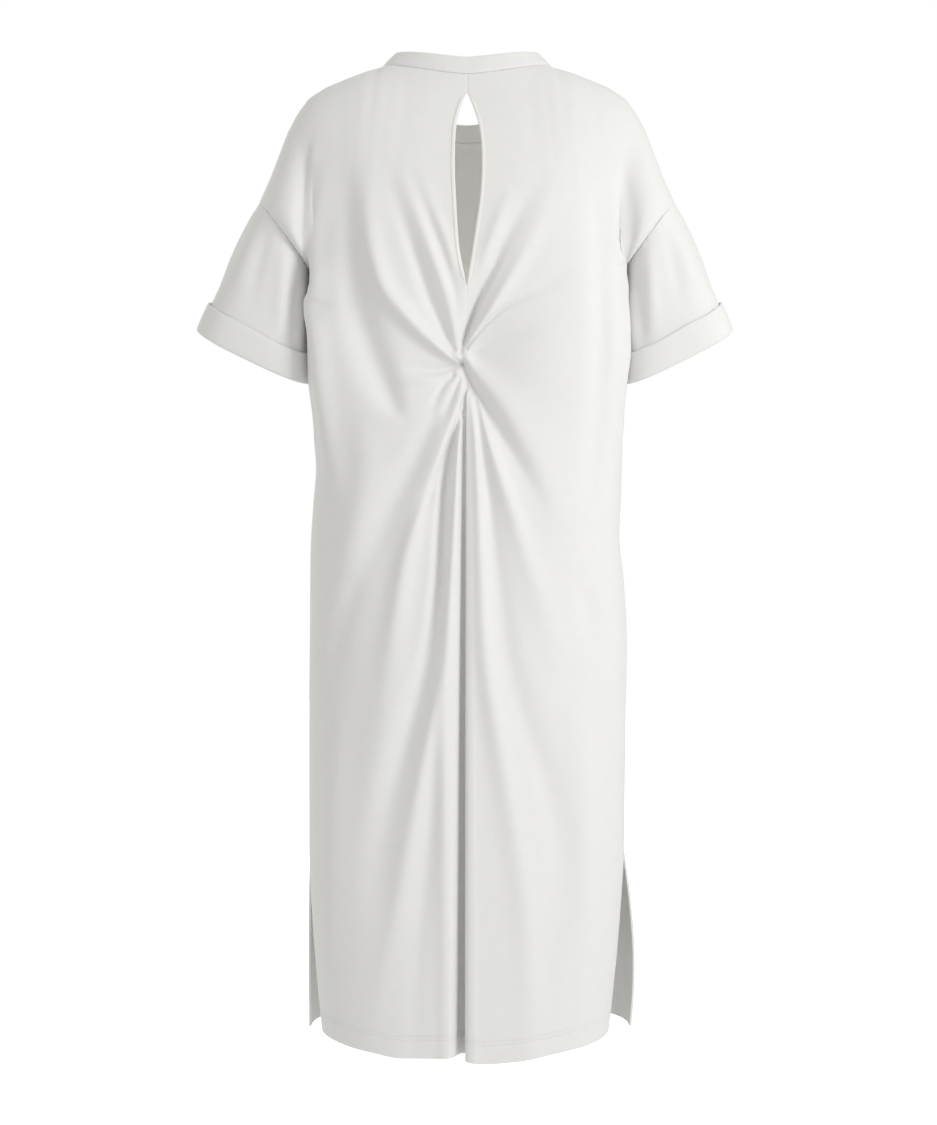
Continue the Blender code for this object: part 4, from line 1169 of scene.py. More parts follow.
@dataclass(frozen=True)
class JerseyFinish:
    """Heavy cotton jersey with a soft, matt face."""

    name: str
    light: tuple[float, float, float] = (0.850, 0.850, 0.839)
    shade: tuple[float, float, float] = (0.796, 0.794, 0.780)
    roughness: float = 0.86
    sheen: float = 0.18
    wales: float = 1050.0
    courses: float = 1350.0
    relief: float = 0.30

    def build(self, groups: dict[str, bpy.types.NodeTree]) -> bpy.types.Material:
        """Make the material.

        Args:
            groups: node groups by their effect.

        Returns:
            The material.
        """
        material = bpy.data.materials.new(self.name)
        material.use_nodes = True
        nodes, links = material.node_tree.nodes, material.node_tree.links
        shader = nodes["Principled BSDF"]
        shader.inputs["Sheen Weight"].default_value = self.sheen
        shader.inputs["Sheen Roughness"].default_value = 0.45
        shader.inputs["Specular IOR Level"].default_value = 0.22
        place = nodes.new("ShaderNodeAttribute")
        place.attribute_name = PLACE_LAYER
        knit = nodes.new("ShaderNodeGroup")
        knit.node_tree = groups["knit"]
        knit.inputs["Wales"].default_value = self.wales
        knit.inputs["Courses"].default_value = self.courses
        links.new(place.outputs["Vector"], knit.inputs["Place"])
        pile = nodes.new("ShaderNodeGroup")
        pile.node_tree = groups["pile"]
        tone = self.add_math(material, "MULTIPLY", pile.outputs["Tone"], 0.55)
        cloud = self.add_math(material, "MULTIPLY", pile.outputs["Cloud"], 0.25)
        mixed = self.add_math(material, "ADD", tone, cloud)
        # Random tone and cloud, plus the knit's painted shade in the hollows between loops.
        mixed = self.add_math(
            material, "ADD", mixed, self.add_math(material, "MULTIPLY", knit.outputs["Shade"], 0.3))
        colour = nodes.new("ShaderNodeMix")
        colour.data_type = "RGBA"
        colour.inputs[6].default_value = (*self.shade, 1.0)
        colour.inputs[7].default_value = (*self.light, 1.0)
        links.new(mixed, colour.inputs[0])
        links.new(colour.outputs[2], shader.inputs["Base Color"])
        rough = self.add_math(material, "MULTIPLY", pile.outputs["Tone"], 0.10)
        rough = self.add_math(material, "ADD", rough, self.roughness - 0.05)
        links.new(rough, shader.inputs["Roughness"])
        fluff = self.add_math(material, "MULTIPLY", pile.outputs["Height"], 0.5)
        height = self.add_math(material, "ADD", knit.outputs["Height"], fluff)
        bump = nodes.new("ShaderNodeBump")
        bump.inputs["Strength"].default_value = self.relief
        bump.inputs["Distance"].default_value = 0.0003
        links.new(height, bump.inputs["Height"])
        links.new(bump.outputs["Normal"], shader.inputs["Normal"])
        material.diffuse_color = (*self.light, 1.0)
        return material

    @staticmethod
    def add_math(
            material: bpy.types.Material, operation: str, first: object, second: object
    ) -> bpy.types.NodeSocket:
        """Add a Math node to a material.

        Args:
            material: the material.
            operation: name of the operation.
            first: socket or number.
            second: socket or number.

        Returns:
            The output of the node.
        """
        node = material.node_tree.nodes.new("ShaderNodeMath")
        node.operation = operation
        for index, value in enumerate((first, second)):
            if isinstance(value, bpy.types.NodeSocket):
                material.node_tree.links.new(value, node.inputs[index])
            else:
                node.inputs[index].default_value = value
        return node.outputs[0]


@dataclass(frozen=True)
class ThreadFinish:
    """Matt sewing thread with a fine fluff."""

    name: str = "thread_white"
    light: tuple[float, float, float] = (0.80, 0.795, 0.775)
    shade: tuple[float, float, float] = (0.66, 0.655, 0.635)
    roughness: float = 0.62

    def build(self, groups: dict[str, bpy.types.NodeTree]) -> bpy.types.Material:
        """Make the material.

        Args:
            groups: node groups by their effect.

        Returns:
            The material.
        """
        material = bpy.data.materials.new(self.name)
        material.use_nodes = True
        nodes, links = material.node_tree.nodes, material.node_tree.links
        shader = nodes["Principled BSDF"]
        shader.inputs["Roughness"].default_value = self.roughness
        shader.inputs["Specular IOR Level"].default_value = 0.3
        pile = nodes.new("ShaderNodeGroup")
        pile.node_tree = groups["pile"]
        pile.inputs["Fineness"].default_value = 2600.0
        colour = nodes.new("ShaderNodeMix")
        colour.data_type = "RGBA"
        colour.inputs[6].default_value = (*self.shade, 1.0)
        colour.inputs[7].default_value = (*self.light, 1.0)
        links.new(pile.outputs["Height"], colour.inputs[0])
        links.new(colour.outputs[2], shader.inputs["Base Color"])
        bump = nodes.new("ShaderNodeBump")
        bump.inputs["Strength"].default_value = 0.4
        bump.inputs["Distance"].default_value = 0.0002
        links.new(pile.outputs["Height"], bump.inputs["Height"])
        links.new(bump.outputs["Normal"], shader.inputs["Normal"])
        material.diffuse_color = (*self.light, 1.0)
        return material


# Sub-assemblies

@dataclass
class Keyhole:
    """Opening at the centre back, with the way each edge stands off the centre line."""

    edge_width: float = 5.0
    seam_gap: float = 0.15
    reach: float = 75.0
    # height, way of the left and of the right edge
    table: Table = (
        (-292, 0.2, 0.2), (-282, 2.2, 1.2), (-247, 8.6, 6.4), (-220, 11.0, 10.6), (-189, 12.8, 15.0),
        (-155, 14.2, 17.3), (-121, 14.0, 17.0), (-93, 12.2, 13.8), (-70, 7.2, 7.4), (-50, 0.2, 0.2),
    )

    def edge(self, side: Side, height: Array) -> Array:
        """Way of the finished edge from the centre line.

        Args:
            side: side of the wearer.
            height: heights to read.

        Returns:
            The way, and 0 outside the opening.
        """
        edge = table_column(self.table, 1 if side is Side.LEFT else 2, height)
        inside = (height > self.table[0][0]) & (height < self.table[-1][0])
        return np.where(inside, np.maximum(edge, 0.2), 0.0)

    def share(self, height: Array) -> Array:
        """Share of the full edge width at a height."""
        return ease((height - self.table[0][0]) / 13.0) * ease((self.table[-1][0] - height) / 12.0)

    def shift(self, side: Side, points: Array) -> Array:
        """How far the cloth beside the opening is moved aside.

        Args:
            side: side of the wearer.
            points: points of the plain cloth.

        Returns:
            Signed way along X.
        """
        height = points[..., 2]
        away = self.edge(side, height) + (self.edge_width + self.seam_gap) * self.share(height)
        fade = np.clip(1 - np.abs(points[..., 0]) / self.reach, 0.0, 1.0) ** 2
        return side.value * away * fade


@dataclass
class BackPleat:
    """Deep pleat that hides the centre back seam under the twist."""

    full_depth: float = 25.0
    # height and depth of the pleat
    depths: Table = (
        (-1205, 29.0), (-1000, 24.0), (-790, 19.0), (-670, 15.0), (-520, 11.0),
        (-470, 9.0), (-430, 6.0), (-402, 0.0),
    )
    # way along the cloth from the seam, then where it lies across and inwards
    left: Table = (
        (0, -2, 25), (5, 3, 24), (10, 7.5, 21), (15, 10.5, 14), (19, 13, 6.5), (24, 17, 1.5),
        (31, 24, 0), (40, 36, 0), (46, 46, 0),
    )
    right: Table = (
        (0, 2, 25), (3, 0.5, 19), (7, -1.2, 12), (11, -2.0, 5), (14, 0.6, 1), (18, 6, -1),
        (24, 14, -0.5), (34, 34, 0),
    )

    def lay(self, side: Side, plain: Array) -> tuple[Array, Array]:
        """Turn the cloth beside the seam into the pleat.

        Args:
            side: side of the wearer.
            plain: points of the plain cloth.

        Returns:
            Signed way along X and way inwards.
        """
        depth = table_column(self.depths, 1, plain[..., 2])
        depth = np.where(plain[..., 2] > self.depths[-1][0], 0.0, depth)
        share = depth / self.full_depth
        size = 0.30 + 0.70 * share
        along = np.abs(plain[..., 0]) / size
        section = self.left if side is Side.LEFT else self.right
        inside = along < section[-1][0]
        across = table_column(section, 1, along) * size
        inward = table_column(section, 2, along) * share
        shift = np.where(inside, (across - np.abs(plain[..., 0])) * ease(share / 0.2), 0.0)
        return side.value * shift, np.where(inside, inward, 0.0)


@dataclass
class BodyCloth:
    """Folded cloth of the body: plain form, folds, pleat and keyhole together."""

    form: BodyForm
    keyhole: Keyhole
    pleat: BackPleat
    wall: float = 1.5
    hem_wall: float = 2.6
    hem_depth: float = 24.0
    seam_dip: float = 0.45
    back_field: FoldField = field(init=False)
    front_field: FoldField = field(init=False)

    def __post_init__(self) -> None:
        """Set up the folds of both faces."""
        self.back_field = FoldField(self.form, Face.BACK, BACK_FOLDS, BACK_TUCKS, BACK_SPOTS, 1.4)
        self.front_field = FoldField(self.form, Face.FRONT, FRONT_FOLDS, (), FRONT_SPOTS, 1.3)

    def point(self, side: Side, face: Face, u: Array, t: Array) -> Array:
        """Point of the folded cloth.

        Args:
            side: side of the wearer.
            face: back or front.
            u: way from the centre to the side.
            t: row value.

        Returns:
            Points of the outer side of the cloth.
        """
        u, t = np.broadcast_arrays(np.asarray(u, dtype=float), np.asarray(t, dtype=float))
        plain = self.form.point(side, face, u, t)
        normal = self.form.normal(side, face, u, t)
        laid = plain.copy()
        inward = np.zeros_like(u)
        if face is Face.BACK:
            shift, inward = self.pleat.lay(side, plain)
            laid[..., 0] += shift + self.keyhole.shift(side, plain)
        folds = self.back_field if face is Face.BACK else self.front_field
        height, draw = folds.move(laid.reshape(-1, 3), normal.reshape(-1, 3))
        mask = ease((1.0 - u) / 0.09) * ease((1.0 - t) / 0.16)
        points = laid + normal * (height.reshape(u.shape) * mask)[..., None]
        points += draw.reshape(plain.shape) * mask[..., None]
        points[..., 1] -= inward
        return points

    def finish_edges(
            self, points: Array, normals: Array, seams: tuple[Array, ...], stitches: tuple[Array, ...]
    ) -> Array:
        """Sink the cloth along seams and stitched lines.

        Args:
            points: grid of outer points.
            normals: outward directions.
            seams: distance of each point from each sewn edge.
            stitches: distance of each point from each stitched line.

        Returns:
            The changed points.
        """
        dip = np.zeros(points.shape[:2])
        way = points[..., 2] + points[..., 0] * 0.6
        for index, distance in enumerate(seams):
            pucker = 0.28 * wave(way, (23.0, 14.0, 37.0), 1.3 + index)
            dip += (self.seam_dip * np.exp(-(distance / 1.4) ** 2)
                    + pucker * np.exp(-(distance / 7.0) ** 2))
        for index, distance in enumerate(stitches):
            pucker = 0.22 * wave(points[..., 0], (17.0, 11.0, 29.0), 2.1 + index)
            dip += (0.35 * np.exp(-(distance / 1.6) ** 2)
                    + pucker * np.exp(-((distance - 3.0) / 8.0) ** 2))
        return points - normals * dip[..., None]


@dataclass
class BackPanel:
    """One of the two back panels that twist round each other."""

    side: Side
    cloth: BodyCloth
    # way from the centre and spacing of the columns
    across: Table = ((0, 1.0), (25, 1.0), (60, 1.5), (110, 2.5), (150, 3.4), (250, 4.4))
    # height and spacing of the rows
    upward: Table = (
        (-1205, 1.0), (-1200, 4.6), (-640, 4.6), (-560, 3.4), (-470, 1.8), (-430, 1.2), (-345, 1.2),
        (-320, 1.8), (-262, 2.6),
    )
    outer: Array = field(init=False)
    normals: Array = field(init=False)
    t: Array = field(init=False)
    u: Array = field(init=False)

    def shape(self) -> None:
        """Work out the outer points and their outward directions."""
        form = self.cloth.form
        self.u = form.columns(Face.BACK, self.across)
        self.t = form.rows(Face.BACK, self.upward, 3.0)
        u, t = np.meshgrid(self.u, self.t)
        points = self.cloth.point(self.side, Face.BACK, u, t)
        normals = grid_normals(points, False, -self.side.value)
        height = points[:, :1, 2] + np.zeros_like(u)
        across = travel(points, 1)
        up = travel(points, 0)
        from_centre = across + np.where(self.keyhole_rows(points)[:, None], 99.0, 0.0)
        from_side = across[:, -1:] - across + np.where(height < form.slit_top, 99.0, 0.0)
        from_top = up[-1:] - up
        hem_line = np.abs(up - self.cloth.hem_depth)
        slit_line = (np.abs(across[:, -1:] - across - 8.0)
                     + np.where(height < form.slit_top - 2.0, 0.0, 99.0))
        self.outer = self.cloth.finish_edges(
            points, normals, (from_centre, from_side, from_top), (hem_line, slit_line))
        self.normals = grid_normals(self.outer, False, -self.side.value)

    def keyhole_rows(self, points: Array) -> Array:
        """Rows whose centre edge is the edge of the keyhole."""
        return self.cloth.keyhole.share(points[:, 0, 2]) > 0.02

    def thickness(self) -> Array:
        """Wall at each point, doubled along the hem and the slit.

        Returns:
            Thickness in millimetres.
        """
        up = travel(self.outer, 0)
        across = travel(self.outer, 1)
        hem = ease((self.cloth.hem_depth + 0.8 - up) / 1.6)
        below_slit = self.outer[..., 2] < self.cloth.form.slit_top
        slit = ease((8.8 - (across[:, -1:] - across)) / 1.6) * below_slit
        return self.cloth.wall + (self.cloth.hem_wall - self.cloth.wall) * np.maximum(hem, slit)

    def build(self, material: bpy.types.Material) -> bpy.types.Object:
        """Make the panel.

        Args:
            material: jersey of the panel.

        Returns:
            The finished piece.
        """
        self.shape()
        shell = Shell(f"back_{self.side.word}", self.outer, self.normals, self.thickness(),
                      flip=self.side is Side.LEFT)
        piece = shell.build()
        dress_piece(piece, material, (f"back_{self.side.word}_panel",))
        return piece


@dataclass
class FrontPanel:
    """Front of the dress, one panel from neck to hem."""

    cloth: BodyCloth
    across: Table = ((0, 3.6), (150, 4.0), (260, 4.0))
    upward: Table = ((-1205, 1.0), (-1200, 5.0), (-600, 5.0), (-262, 4.0))
    outer: Array = field(init=False)
    normals: Array = field(init=False)

    def shape(self) -> None:
        """Work out the outer points and their outward directions."""
        form = self.cloth.form
        columns = form.columns(Face.FRONT, self.across)
        u, t = np.meshgrid(columns, form.rows(Face.FRONT, self.upward, 3.6))
        left = self.cloth.point(Side.LEFT, Face.FRONT, u, t)
        right = self.cloth.point(Side.RIGHT, Face.FRONT, u, t)
        points = np.concatenate([right[:, :0:-1], left], axis=1)
        normals = grid_normals(points, False, 1)
        across = travel(points, 1)
        up = travel(points, 0)
        slit = points[..., 2] < form.slit_top
        edges = (across, across[:, -1:] - across)
        seams = tuple(edge + np.where(slit, 99.0, 0.0) for edge in edges)
        lines = tuple(np.abs(edge - 8.0) + np.where(slit, 0.0, 99.0) for edge in edges)
        hem_line = np.abs(up - self.cloth.hem_depth)
        self.outer = self.cloth.finish_edges(points, normals, (*seams, up[-1:] - up), (hem_line, *lines))
        self.normals = grid_normals(self.outer, False, 1)

    def thickness(self) -> Array:
        """Wall at each point, doubled along the hem and the slits.

        Returns:
            Thickness in millimetres.
        """
        up = travel(self.outer, 0)
        across = travel(self.outer, 1)
        from_edge = np.minimum(across, across[:, -1:] - across)
        hem = ease((self.cloth.hem_depth + 0.8 - up) / 1.6)
        slit = ease((8.8 - from_edge) / 1.6) * (self.outer[..., 2] < self.cloth.form.slit_top)
        return self.cloth.wall + (self.cloth.hem_wall - self.cloth.wall) * np.maximum(hem, slit)

    def build(self, material: bpy.types.Material) -> bpy.types.Object:
        """Make the panel.

        Args:
            material: jersey of the panel.

        Returns:
            The finished piece.
        """
        self.shape()
        piece = Shell("front", self.outer, self.normals, self.thickness()).build()
        dress_piece(piece, material, ("front_panel",))
        return piece


@dataclass
class Sleeve:
    """Short wide sleeve, from the armhole to the turned-up cuff."""

    side: Side
    form: BodyForm
    # way across of the outer end on the left and on the right, and its height
    cuff_outer: tuple[float, float, float] = (332.5, 327.0, -336.0)
    cuff_inner: tuple[float, float] = (196.0, -402.0)
    cuff_half_depth: float = 61.0
    cuff_depth: float = 34.0
    cuff_tilt: float = 0.12
    cuff_roundness: float = 0.62
    cuff_sag: float = 5.0
    wall: float = 1.5
    columns: int = 192
    rows: int = 78
    # start and end as turn in degrees and way along, then width and height
    folds: tuple[tuple[str, float, float, float, float, float, float], ...] = (
        ("back_hollow_outer", 70, 0.06, 84, 0.70, 9, -3.0),
        ("back_ridge_outer", 50, 0.10, 58, 0.62, 10, 2.0),
        ("back_ridge", 100, 0.05, 108, 0.72, 8, 3.5),
        ("back_hollow_inner", 128, 0.10, 122, 0.86, 8, -3.5),
        ("back_ridge_inner", 148, 0.12, 140, 0.80, 8, 2.5),
        ("top_hollow", 18, 0.12, 26, 0.66, 12, -1.5),
        ("head_swell", 2, 0.0, 0, 0.66, 30, 4.5),
        ("front_ridge", 262, 0.06, 252, 0.76, 10, 3.0),
        ("front_hollow", 292, 0.08, 284, 0.78, 9, -3.0),
        ("front_ridge_outer", 316, 0.12, 308, 0.70, 10, 2.0),
        ("underarm_ridge", 222, 0.15, 212, 0.80, 9, 2.0),
        ("underarm_hollow", 240, 0.12, 232, 0.80, 8, -2.0),
    )
    turn: Array = field(init=False)
    outer: Array = field(init=False)
    normals: Array = field(init=False)

    def armhole_point(self, turn: Array) -> Array:
        """Point of the armhole seam.

        Args:
            turn: way round in radians, from the top by the back.

        Returns:
            Points of the seam.
        """
        back = turn <= np.pi
        part = np.where(back, 1 - turn / np.pi, turn / np.pi - 1)
        edge = np.ones_like(part)
        behind = self.form.upper_point(self.side, Face.BACK, edge, part)
        before = self.form.upper_point(self.side, Face.FRONT, edge, part)
        return np.where(back[..., None], behind, before)

    def cuff_point(self, turn: Array) -> Array:
        """Point of the lower end of the sleeve.

        Args:
            turn: way round in radians.

        Returns:
            Points of the end.
        """
        left, right, height = self.cuff_outer
        outer = np.array([left if self.side is Side.LEFT else right, height])
        inner = np.array(self.cuff_inner)
        middle, half = (outer + inner) / 2, (outer - inner) / 2
        round_x = np.sign(np.cos(turn)) * np.abs(np.cos(turn)) ** self.cuff_roundness
        round_y = np.sign(np.sin(turn)) * np.abs(np.sin(turn)) ** self.cuff_roundness
        across = self.side.value * (middle[0] + half[0] * round_x)
        lift = (self.cuff_tilt * self.cuff_half_depth * (1 - round_y)
                - self.cuff_sag * np.clip(round_y, 0.0, 1.0) ** 2)
        return stack(across, self.cuff_half_depth * round_y, middle[1] + half[1] * round_x + lift)

    def plain(self, turn: Array, along: Array) -> Array:
        """Point of the sleeve without folds.

        Args:
            turn: way round in radians.
            along: way down from 0 to 1.

        Returns:
            Points of the plain sleeve.
        """
        start = self.armhole_point(turn)
        point = start + (self.cuff_point(turn) - start) * along[..., None]
        point[..., 1] += np.sin(np.pi * along) * 3.0 * np.sin(turn)
        return point

    def normal(self, turn: Array, along: Array) -> Array:
        """Outward direction of the plain sleeve.

        Args:
            turn: way round in radians.
            along: way down from 0 to 1.

        Returns:
            Unit vectors.
        """
        step = 0.02
        before = np.clip(along - step, 0.0, 1.0 - 2 * step)
        down = self.plain(turn, before + 2 * step) - self.plain(turn, before)
        low, high = np.mod(turn - step, 2 * np.pi), np.mod(turn + step, 2 * np.pi)
        return unit(np.cross(self.plain(high, along) - self.plain(low, along), down)) * -self.side.value

    def shape(self) -> None:
        """Work out the outer points and their outward directions."""
        self.turn = np.arange(self.columns) * 2 * np.pi / self.columns
        steps = np.linspace(0.0, 1.0, self.rows)
        turn, along = np.meshgrid(self.turn, steps)
        plain = self.plain(turn, along)
        normal = self.normal(turn, along)
        height = np.zeros(plain.shape[:2]).ravel()
        part = np.linspace(0.0, 1.0, 14)
        for _name, turn_0, along_0, turn_1, along_1, width, rise in self.folds:
            line_turn = np.radians(turn_0 + (turn_1 - turn_0) * part)
            points = self.plain(line_turn, along_0 + (along_1 - along_0) * part)
            values = np.stack([width * (1 + 0.3 * part), rise * 4 * part * (1 - part)], axis=1)
            line = LaidLine(points, values)
            near, offset, read, _across = line.measure(
                plain.reshape(-1, 3), normal.reshape(-1, 3), width * 3.2)
            height[near] += read[:, 1] * np.exp(-(offset / read[:, 0]) ** 2)
        height = height.reshape(along.shape) * ease(along / 0.10) * ease((0.99 - along) / 0.12)
        points = plain + normal * height[..., None]
        up = travel(points, 0)
        seam = (0.45 * np.exp(-(up / 1.4) ** 2)
                + 0.3 * wave(turn * 90, (23.0, 15.0), 0.7) * np.exp(-(up / 8.0) ** 2))
        round_way = np.minimum(np.abs(turn - np.pi), 1.0) * 60.0
        seam += 0.6 * np.exp(-(round_way / 1.5) ** 2)
        self.outer = points - normal * seam[..., None]
        self.normals = grid_normals(self.outer, True, self.side.value * -1)

    def build(self, material: bpy.types.Material) -> bpy.types.Object:
        """Make the sleeve.

        Args:
            material: jersey of the sleeve.

        Returns:
            The finished piece.
        """
        self.shape()
        wall = np.full(self.outer.shape[:2], self.wall)
        shell = Shell(f"sleeve_{self.side.word}_cloth", self.outer, self.normals, wall, closed=True,
                      flip=self.side is Side.LEFT)
        piece = shell.build()
        dress_piece(piece, material, (f"sleeve_{self.side.word}",))
        return piece


@dataclass
class Cuff:
    """Turned-up end of a sleeve, with a soft lip that stands a little off the sleeve."""

    sleeve: Sleeve
    step: float = 0.45
    wall: float = 3.0
    bulge: float = 0.8
    lip_points: int = 7
    face_points: int = 16

    def section(self) -> Array:
        """Section of the cuff as way up from the end and way outwards.

        Returns:
            One row for each point of the section.
        """
        depth = self.sleeve.cuff_depth
        up = np.linspace(0.0, 1.0, self.face_points)
        inner = np.stack([1.0 + up * (depth - 2.2), np.full_like(up, self.step)], axis=1)
        arc = np.linspace(-np.pi / 2, np.pi / 2, self.lip_points)[1:-1]
        half = self.wall / 2
        lip = np.stack(
            [depth - 1.2 + np.cos(arc) * half * 0.9, self.step + half + np.sin(arc) * half], axis=1)
        outer_up = up[::-1]
        swell = self.step + self.wall + self.bulge * np.sin(np.pi * outer_up) ** 0.8
        outer = np.stack([outer_up * (depth - 1.2), swell], axis=1)
        turn = np.linspace(np.pi / 2, -np.pi / 2, self.lip_points)[1:]
        reach = (self.wall + self.step + self.sleeve.wall * 0.5) / 2
        end = np.stack(
            [-np.cos(turn) * 3.2, self.step + self.wall - reach + np.sin(turn) * reach], axis=1)
        return np.concatenate([inner, lip, outer, end])

    def build(self, material: bpy.types.Material) -> bpy.types.Object:
        """Make the cuff.

        Args:
            material: jersey of the cuff.

        Returns:
            The finished piece.
        """
        sleeve = self.sleeve
        end = sleeve.plain(sleeve.turn, np.ones_like(sleeve.turn))
        above = sleeve.plain(sleeve.turn, np.full_like(sleeve.turn, 0.8))
        out = sleeve.normal(sleeve.turn, np.full_like(sleeve.turn, 0.97))
        rise = unit(above - end)
        section = self.section()
        way = sleeve.turn * 70.0
        lift = 0.5 * (1 + wave(way, (61.0, 97.0, 43.0), 0.9)) * 0.9
        share = ease((section[:, 0] - sleeve.cuff_depth * 0.45) / (sleeve.cuff_depth * 0.55))
        ripple = 0.5 * wave(way, (38.0, 59.0), 2.2)
        seam = 0.7 * np.exp(-((sleeve.turn - np.pi) * 60.0 / 1.6) ** 2)
        out_way = (section[None, :, 1] + share[None] * lift[:, None]
                   + ripple[:, None] * 0.5 * (section[None, :, 1] > 2.0))
        out_way = out_way - seam[:, None] * (section[None, :, 1] > 2.0)
        up_way = section[None, :, 0] + share[None] * 0.7 * wave(way, (83.0, 47.0), 0.3)[:, None]
        points = (end[:, None, :] + rise[:, None, :] * up_way[..., None]
                  + out[:, None, :] * out_way[..., None])
        name = f"cuff_{sleeve.side.word}_band"
        piece = swept_object(name, points, True, sleeve.side is Side.RIGHT)
        dress_piece(piece, material, (f"cuff_{sleeve.side.word}",))
        return piece


@dataclass
class Neckband:
    """Folded strip of jersey on the neckline, leaning towards the neck."""

    back_left: BackPanel
    front: FrontPanel
    width: float = 23.0
    wall: float = 2.4
    lean_back: float = 0.22
    lean_side: float = 0.90
    lean_front: float = 0.50
    count: int = 420

    def ring(self) -> Array:
        """Neckline seam as one ring of evenly spaced points.

        Returns:
            Points from the centre back by the left, the front and the right.
        """
        form = self.back_left.cloth.form
        turn = np.linspace(0.0, form.neck_share, 200)
        parts = [
            form.top_edge(Side.LEFT, Face.BACK, turn),
            form.top_edge(Side.LEFT, Face.FRONT, turn)[::-1][1:],
            form.top_edge(Side.RIGHT, Face.FRONT, turn)[1:],
            form.top_edge(Side.RIGHT, Face.BACK, turn)[::-1][1:],
        ]
        line = np.concatenate(parts)
        way = travel(line[None], 1)[0]
        at = np.linspace(0.0, way[-1], self.count, endpoint=False)
        return np.stack([np.interp(at, way, line[:, axis]) for axis in range(3)], axis=1)

    def section(self) -> Array:
        """Section of the band as way up along it and way outwards.

        Returns:
            One row for each point of the section.
        """
        up = np.linspace(0.0, 1.0, 12)
        outer = np.stack(
            [0.2 + up * (self.width - 1.4), 0.1 + 0.75 * np.sin(np.pi * np.sqrt(up)) ** 0.7], axis=1)
        arc = np.linspace(np.pi / 2, -np.pi / 2, 7)[1:-1]
        half = self.wall / 2
        top = np.stack([self.width - 1.2 + 1.2 * np.cos(arc), 0.1 - half + half * np.sin(arc)], axis=1)
        down = up[::-1]
        inner = np.stack(
            [0.2 + down * (self.width - 1.4), 0.1 - self.wall + 0.4 * np.sin(np.pi * down)], axis=1)
        inner[-1, 1] = -1.6
        return np.concatenate([outer, top, inner])

    def build(self, material: bpy.types.Material) -> bpy.types.Object:
        """Make the band.

        Args:
            material: jersey of the band.

        Returns:
            The finished piece.
        """
        ring = self.ring()
        around = unit((np.roll(ring, -1, axis=0) - np.roll(ring, 1, axis=0)) * np.array([1.0, 1.0, 0.0]))
        lean_in = np.stack([-around[:, 1], around[:, 0], around[:, 2]], axis=1)
        towards = np.sum(lean_in * (ring - np.array([0.0, -18.0, 0.0])), axis=1, keepdims=True)
        lean_in *= -np.sign(towards)
        side_share = (np.abs(ring[:, :1]) / self.back_left.cloth.form.neck_half_width) ** 3
        middle = np.where(ring[:, 1:2] > 0, self.lean_back, self.lean_front)
        lean = middle + (self.lean_side - middle) * side_share
        rise = unit(lean_in * lean + np.array([0.0, 0.0, 1.0]))
        out = unit(np.array([0.0, 0.0, 1.0]) * lean - lean_in)
        section = self.section()
        way = travel(ring[None], 1)[0]
        ripple = 0.22 * wave(way, (19.0, 31.0, 13.0), 0.4)
        up_way = section[None, :, 0] + np.zeros((len(ring), 1))
        out_way = section[None, :, 1] + ripple[:, None] * np.exp(-section[None, :, 0] / 9.0)
        points = (ring[:, None, :] + rise[:, None, :] * up_way[..., None]
                  + out[:, None, :] * out_way[..., None])
        piece = swept_object("neck_band", points, True, False)
        dress_piece(piece, material, ("neckband",))
        return piece


@dataclass
class KeyholeEdge:
    """Narrow rounded finish along one side of the keyhole."""

    panel: BackPanel
    thickness: float = 2.8
    points: int = 14

    def build(self, material: bpy.types.Material) -> bpy.types.Object:
        """Make the edge.

        Args:
            material: jersey of the edge.

        Returns:
            The finished piece.
        """
        panel = self.panel
        keyhole = panel.cloth.keyhole
        edge = panel.outer[:, 0]
        keep = keyhole.share(edge[:, 2]) > 0.02
        line = edge[keep]
        away = unit(panel.outer[:, 2][keep] - line)
        out = unit(panel.normals[:, 2][keep])
        share = keyhole.share(line[:, 2])[:, None]
        turn = np.linspace(0.0, 2 * np.pi, self.points, endpoint=False)
        width = keyhole.edge_width * share
        half = self.thickness / 2 * (0.35 + 0.65 * share)
        middle = line - out * (panel.cloth.wall / 2) - away * (width / 2)
        side_way = np.sign(np.cos(turn)) * np.abs(np.cos(turn)) ** 0.75
        out_way = np.sign(np.sin(turn)) * np.abs(np.sin(turn)) ** 0.75
        sections = (middle[:, None, :]
                    + away[:, None, :] * (width[:, None, :] / 2 * side_way[None, :, None])
                    + out[:, None, :] * (half[:, None, :] * out_way[None, :, None]))
        name = f"keyhole_edge_{panel.side.word}"
        piece = swept_object(name, sections, False, panel.side is Side.RIGHT)
        dress_piece(piece, material, (f"keyhole_binding_{panel.side.word}",))
        return piece


